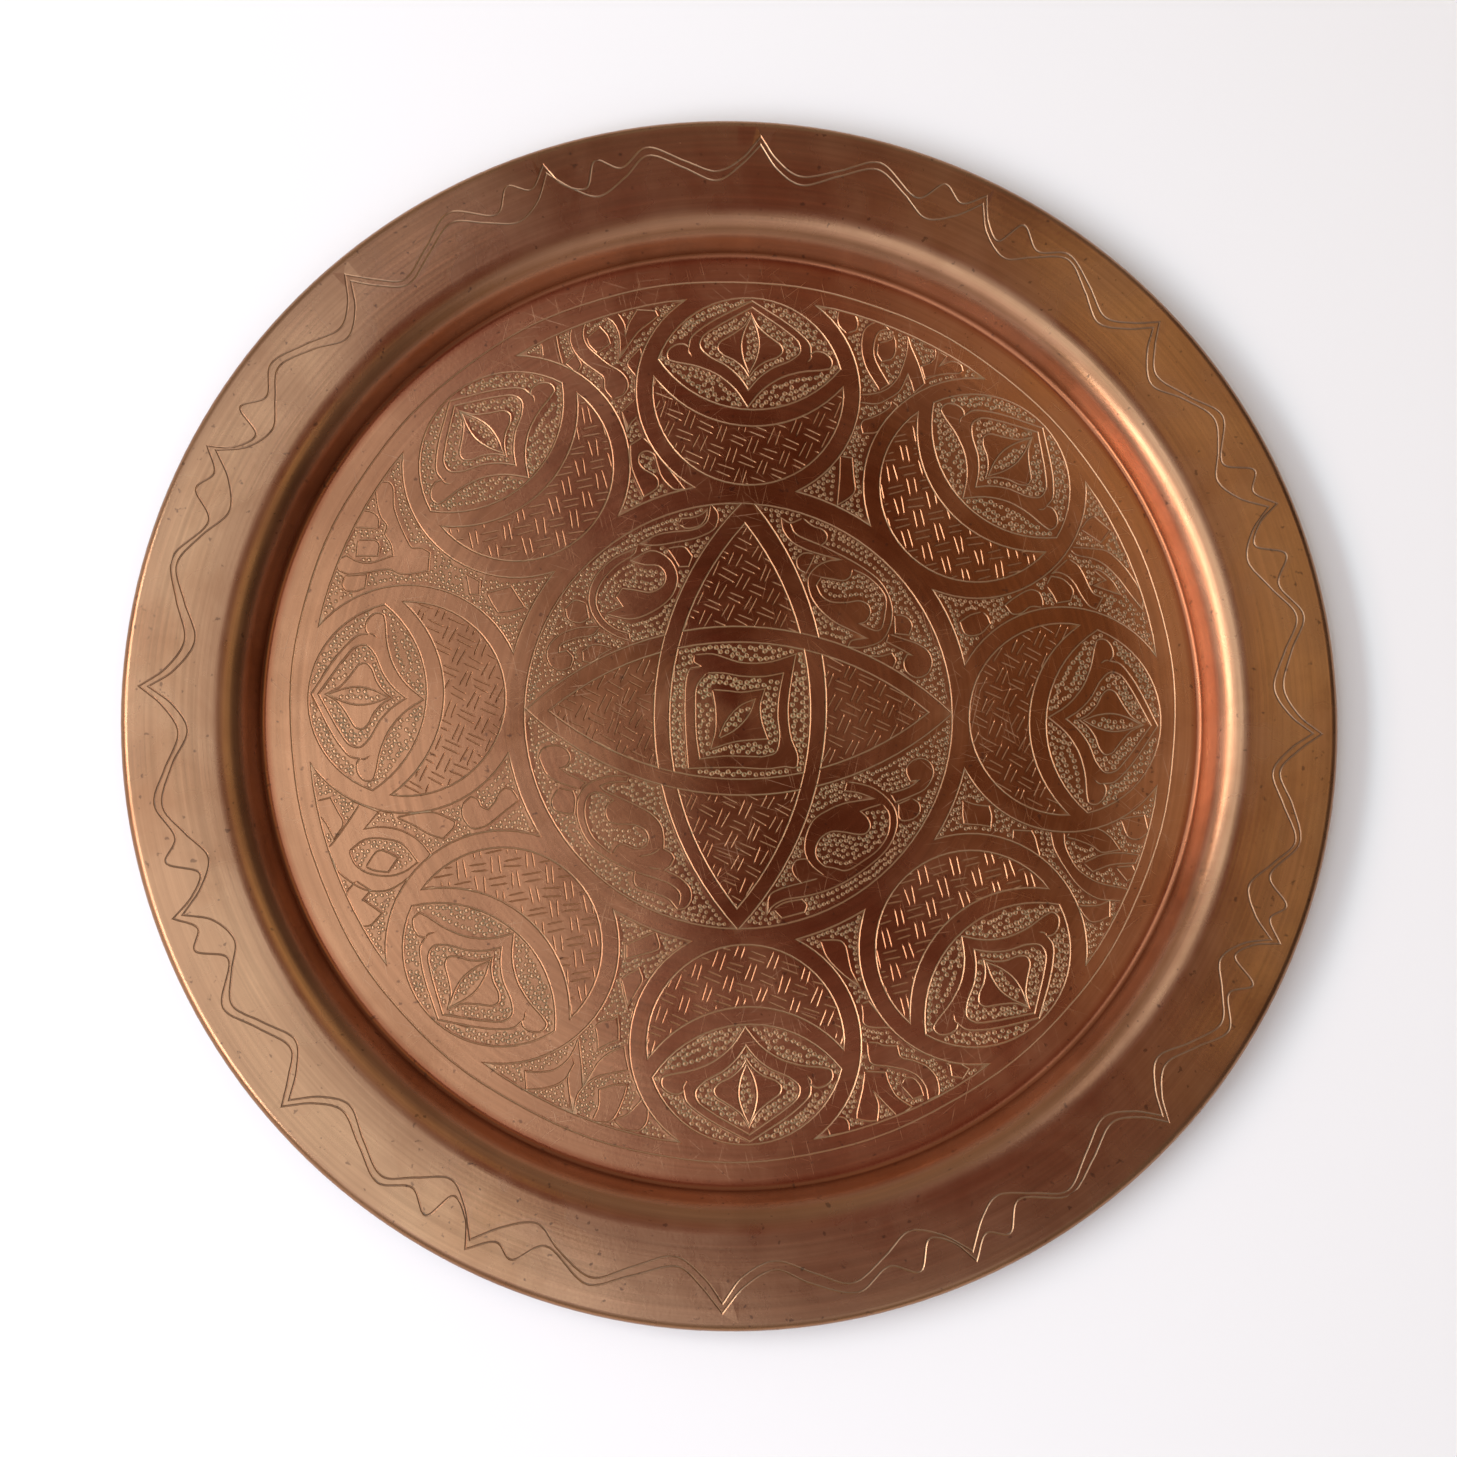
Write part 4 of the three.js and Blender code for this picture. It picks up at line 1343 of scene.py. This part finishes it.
def copper_material():
    n = Nodes(bpy.data.materials.new("chased_copper"), "Principled BSDF")
    place = n.add("ShaderNodeTexCoord").outputs["Object"]
    level = n.vector("MULTIPLY", place, (1, 1, 0))
    radius = n.vector("LENGTH", level, level)
    on_brim = n.stretch(radius, *BRIM_START)
    foot_shade = n.band(radius, FOOT_START, FOOT_END)
    on_wall = n.band(radius, WALL_START, WALL_END)
    rings = spun_rings(n, level, radius)
    wiped = n.stretch(n.streaks(place, *WIPES), 0.3, 0.7)
    marks = scratch_marks(n, place, radius)
    pits = n.stretch(n.noise(place, 420, 2.0), 0.68, 0.74)
    grime = n.stretch(n.noise(place, 90, 4.0, 0.6), 0.35, 0.6, 0.45, 1.0)
    dirt = n.times(n.stretch(n.attribute("residue"), 0.2, 0.85), grime)
    fresh = n.attribute("fresh")

    colour = n.mix(n.stretch(radius, *BRIM_COLOUR_START), COPPER, BRIM_COPPER)
    # painted shade: the corner where the floor turns up into the wall is painted darker and redder
    colour = n.mix(foot_shade, colour, FOOT_SHADE_COPPER)
    colour = n.mix(on_wall, colour, WALL_COPPER)
    # painted shade over the middle and right of the floor, with real tarnish blotches in it
    colour = n.mix(tarnish_and_shade_share(n, place, level, radius), colour, TARNISH_AND_SHADE)
    shade = n.stretch(rings, 0.3, 0.7, 0.86, 1.12)
    shade = n.times(shade, n.plus(n.times(wiped, 0.05), 0.98))
    colour = n.vector("MULTIPLY", colour, shade)
    # painted glint: the scratches are made lighter, standing in for the light they scatter
    colour = n.mix(n.times(marks, 0.35), colour, SCRATCH_GLINT_COPPER)
    colour = n.mix(n.times(fresh, n.stretch(on_brim, 0.0, 1.0, 0.8, 0.3)), colour, FRESH_COPPER)
    colour = n.mix(n.times(pits, 0.5), colour, PITS)
    floor_residue = n.mix(n.stretch(radius, *MIDDLE_END), GOLDEN_RESIDUE, RESIDUE)
    colour = n.mix(dirt, colour, n.mix(on_brim, floor_residue, BRIM_RESIDUE))
    n.set(n.shader, "Base Color", colour)
    n.set(n.shader, "Metallic", n.stretch(dirt, 0.0, 1.0, 1.0, 0.1))

    smear = n.stretch(n.noise(place, 22, 4.0, 0.65, 0.3), 0.3, 0.7, 0.2, 0.32)
    for mask, rougher in ((wiped, 0.02), (on_wall, -0.04), (marks, 0.12), (fresh, 0.13), (dirt, 0.2)):
        smear = n.plus(smear, n.times(mask, rougher))
    n.set(n.shader, "Roughness", smear)
    tangent = n.add("ShaderNodeTangent")
    tangent.direction_type = "RADIAL"
    tangent.axis = "Z"
    n.set(n.shader, "Tangent", tangent.outputs[0])
    n.set(n.shader, "Anisotropic", 0.6)
    n.set(n.shader, "Anisotropic Rotation", 0.25)
    grain = n.bump(n.noise(place, 900, 2.0), 0.08, 0.0002)
    ringed = n.bump(n.times(rings, on_brim), 0.12, 0.0003, grain)
    n.set(n.shader, "Normal", n.bump(marks, 0.15, 0.0001, ringed))
    return n.owner


def steel_material():
    n = Nodes(bpy.data.materials.new("rim_steel"), "Principled BSDF")
    place = n.add("ShaderNodeTexCoord").outputs["Object"]
    rust = n.stretch(n.noise(place, 260, 4.0, 0.6), 0.45, 0.62)
    n.set(n.shader, "Base Color", n.mix(rust, STEEL, RUST))
    n.set(n.shader, "Metallic", n.stretch(rust, 0.0, 1.0, 1.0, 0.3))
    n.set(n.shader, "Roughness", n.stretch(rust, 0.0, 1.0, 0.38, 0.8))
    n.set(n.shader, "Normal", n.bump(n.noise(place, 1200, 2.0), 0.2, 0.0002))
    return n.owner


def backdrop_material():
    n = Nodes(bpy.data.materials.new("pale_floor"), "Principled BSDF")
    n.set(n.shader, "Base Color", (0.97, 0.87, 0.74))
    n.set(n.shader, "Roughness", 0.9)
    n.set(n.shader, "Specular IOR Level", 0.1)
    return n.owner


# ---------------------------------------------------------------------------------------------
# Scene


def pale_floor():
    side = 6.0
    corners = [(-side, -side, 0), (side, -side, 0), (side, side, 0), (-side, side, 0)]
    piece = new_piece("pale_floor", "pale_floor", corners, [(0, 1, 2, 3)])
    piece.location.z = -0.0002  # just clear of the tray's underside
    piece.data.materials.append(backdrop_material())
    return piece


def direction(azimuth, elevation):
    """The way to a place in the room. Azimuth 0 is along +X and 90 along +Y."""
    a, e = radians(azimuth), radians(elevation)
    return Vector((cos(a) * cos(e), sin(a) * cos(e), sin(e)))


def area_light(name, azimuth, elevation, distance, width, height, power, colour):
    """A rectangular light that faces the tray. Its width lies level."""
    data = bpy.data.lights.new(name, "AREA")
    data.shape = "RECTANGLE"
    data.size = width
    data.size_y = height
    data.energy = power
    data.color = colour
    light = bpy.data.objects.new(name, data)
    light.location = direction(azimuth, elevation) * distance
    light.rotation_euler = light.location.to_track_quat("Z", "Y").to_euler()
    bpy.context.collection.objects.link(light)
    return light


# The room is pale all round, and dark straight above, where a dim warm ceiling lies, and low to the
# right. Each dark part has a colour, the azimuth and elevation of its middle, and the degrees from
# there at which it starts and ends to give way to the room
ROOM = (0.43, 0.42, 0.43)
CEILING = ((0.25, 0.075, 0.055), (45, 76), (5, 40))
DARK_SIDE = ((0.13, 0.11, 0.11), (5, 22), (15, 62))


def lights():
    area_light("window", 187, 40, 2.0, 1.9, 0.3, 18, (0.67, 1.0, 1.27))
    area_light("window_sill", 187, 33, 2.0, 1.9, 0.4, 11, (1.35, 1.0, 1.1))
    area_light("left_panel", 190, 62, 2.0, 3.0, 1.8, 13.9, (0.82, 1.0, 1.5))
    area_light("left_high", 190, 74, 2.0, 2.0, 0.6, 5.2, (0.65, 1.0, 1.2))
    area_light("right_panel", 22, 60, 2.0, 1.5, 0.8, 2.7, (0.95, 1.0, 0.7))
    area_light("front_panel", 270, 50, 2.0, 2.0, 1.2, 2.8, (0.8, 1.0, 1.6))
    n = Nodes(bpy.data.worlds.new("studio"), "Background")
    way = n.add("ShaderNodeTexCoord").outputs["Generated"]
    room = ROOM
    for colour, middle, (start, end) in (DARK_SIDE, CEILING):
        toward = n.vector("DOT_PRODUCT", way, direction(*middle))
        share = n.add("ShaderNodeMapRange", Value=toward, From_Min=cos(radians(end)),
                      From_Max=cos(radians(start)))
        share.interpolation_type = "SMOOTHSTEP"
        room = n.mix(share.outputs[0], room, colour)
    n.set(n.shader, "Color", room)
    bpy.context.scene.world = n.owner


EYE = Vector((-0.0523, -0.1175, 0.9917)) * 0.7  # almost straight above
AIM = Vector((-0.0025, -0.0059, 0.0))
LENS = 51.9


def camera():
    data = bpy.data.cameras.new("camera")
    data.sensor_width = 36
    data.lens = LENS
    eye = bpy.data.objects.new("camera", data)
    back = (EYE - AIM).normalized()
    right = Vector((0, 1, 0)).cross(back).normalized()
    up = back.cross(right)
    eye.matrix_world = Matrix((right, up, back)).transposed().to_4x4()
    eye.location = EYE
    bpy.context.collection.objects.link(eye)
    bpy.context.scene.camera = eye
    bpy.context.scene.view_settings.view_transform = "Standard"


camera()
lights()
pale_floor()

sheet = tray_sheet()
sheet.data.materials.append(copper_material())
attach(sheet, "root")
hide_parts("tray_sheet")

wire = rim_wire()
wire.data.materials.append(steel_material())
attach(wire, "root")
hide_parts("rim_wire")
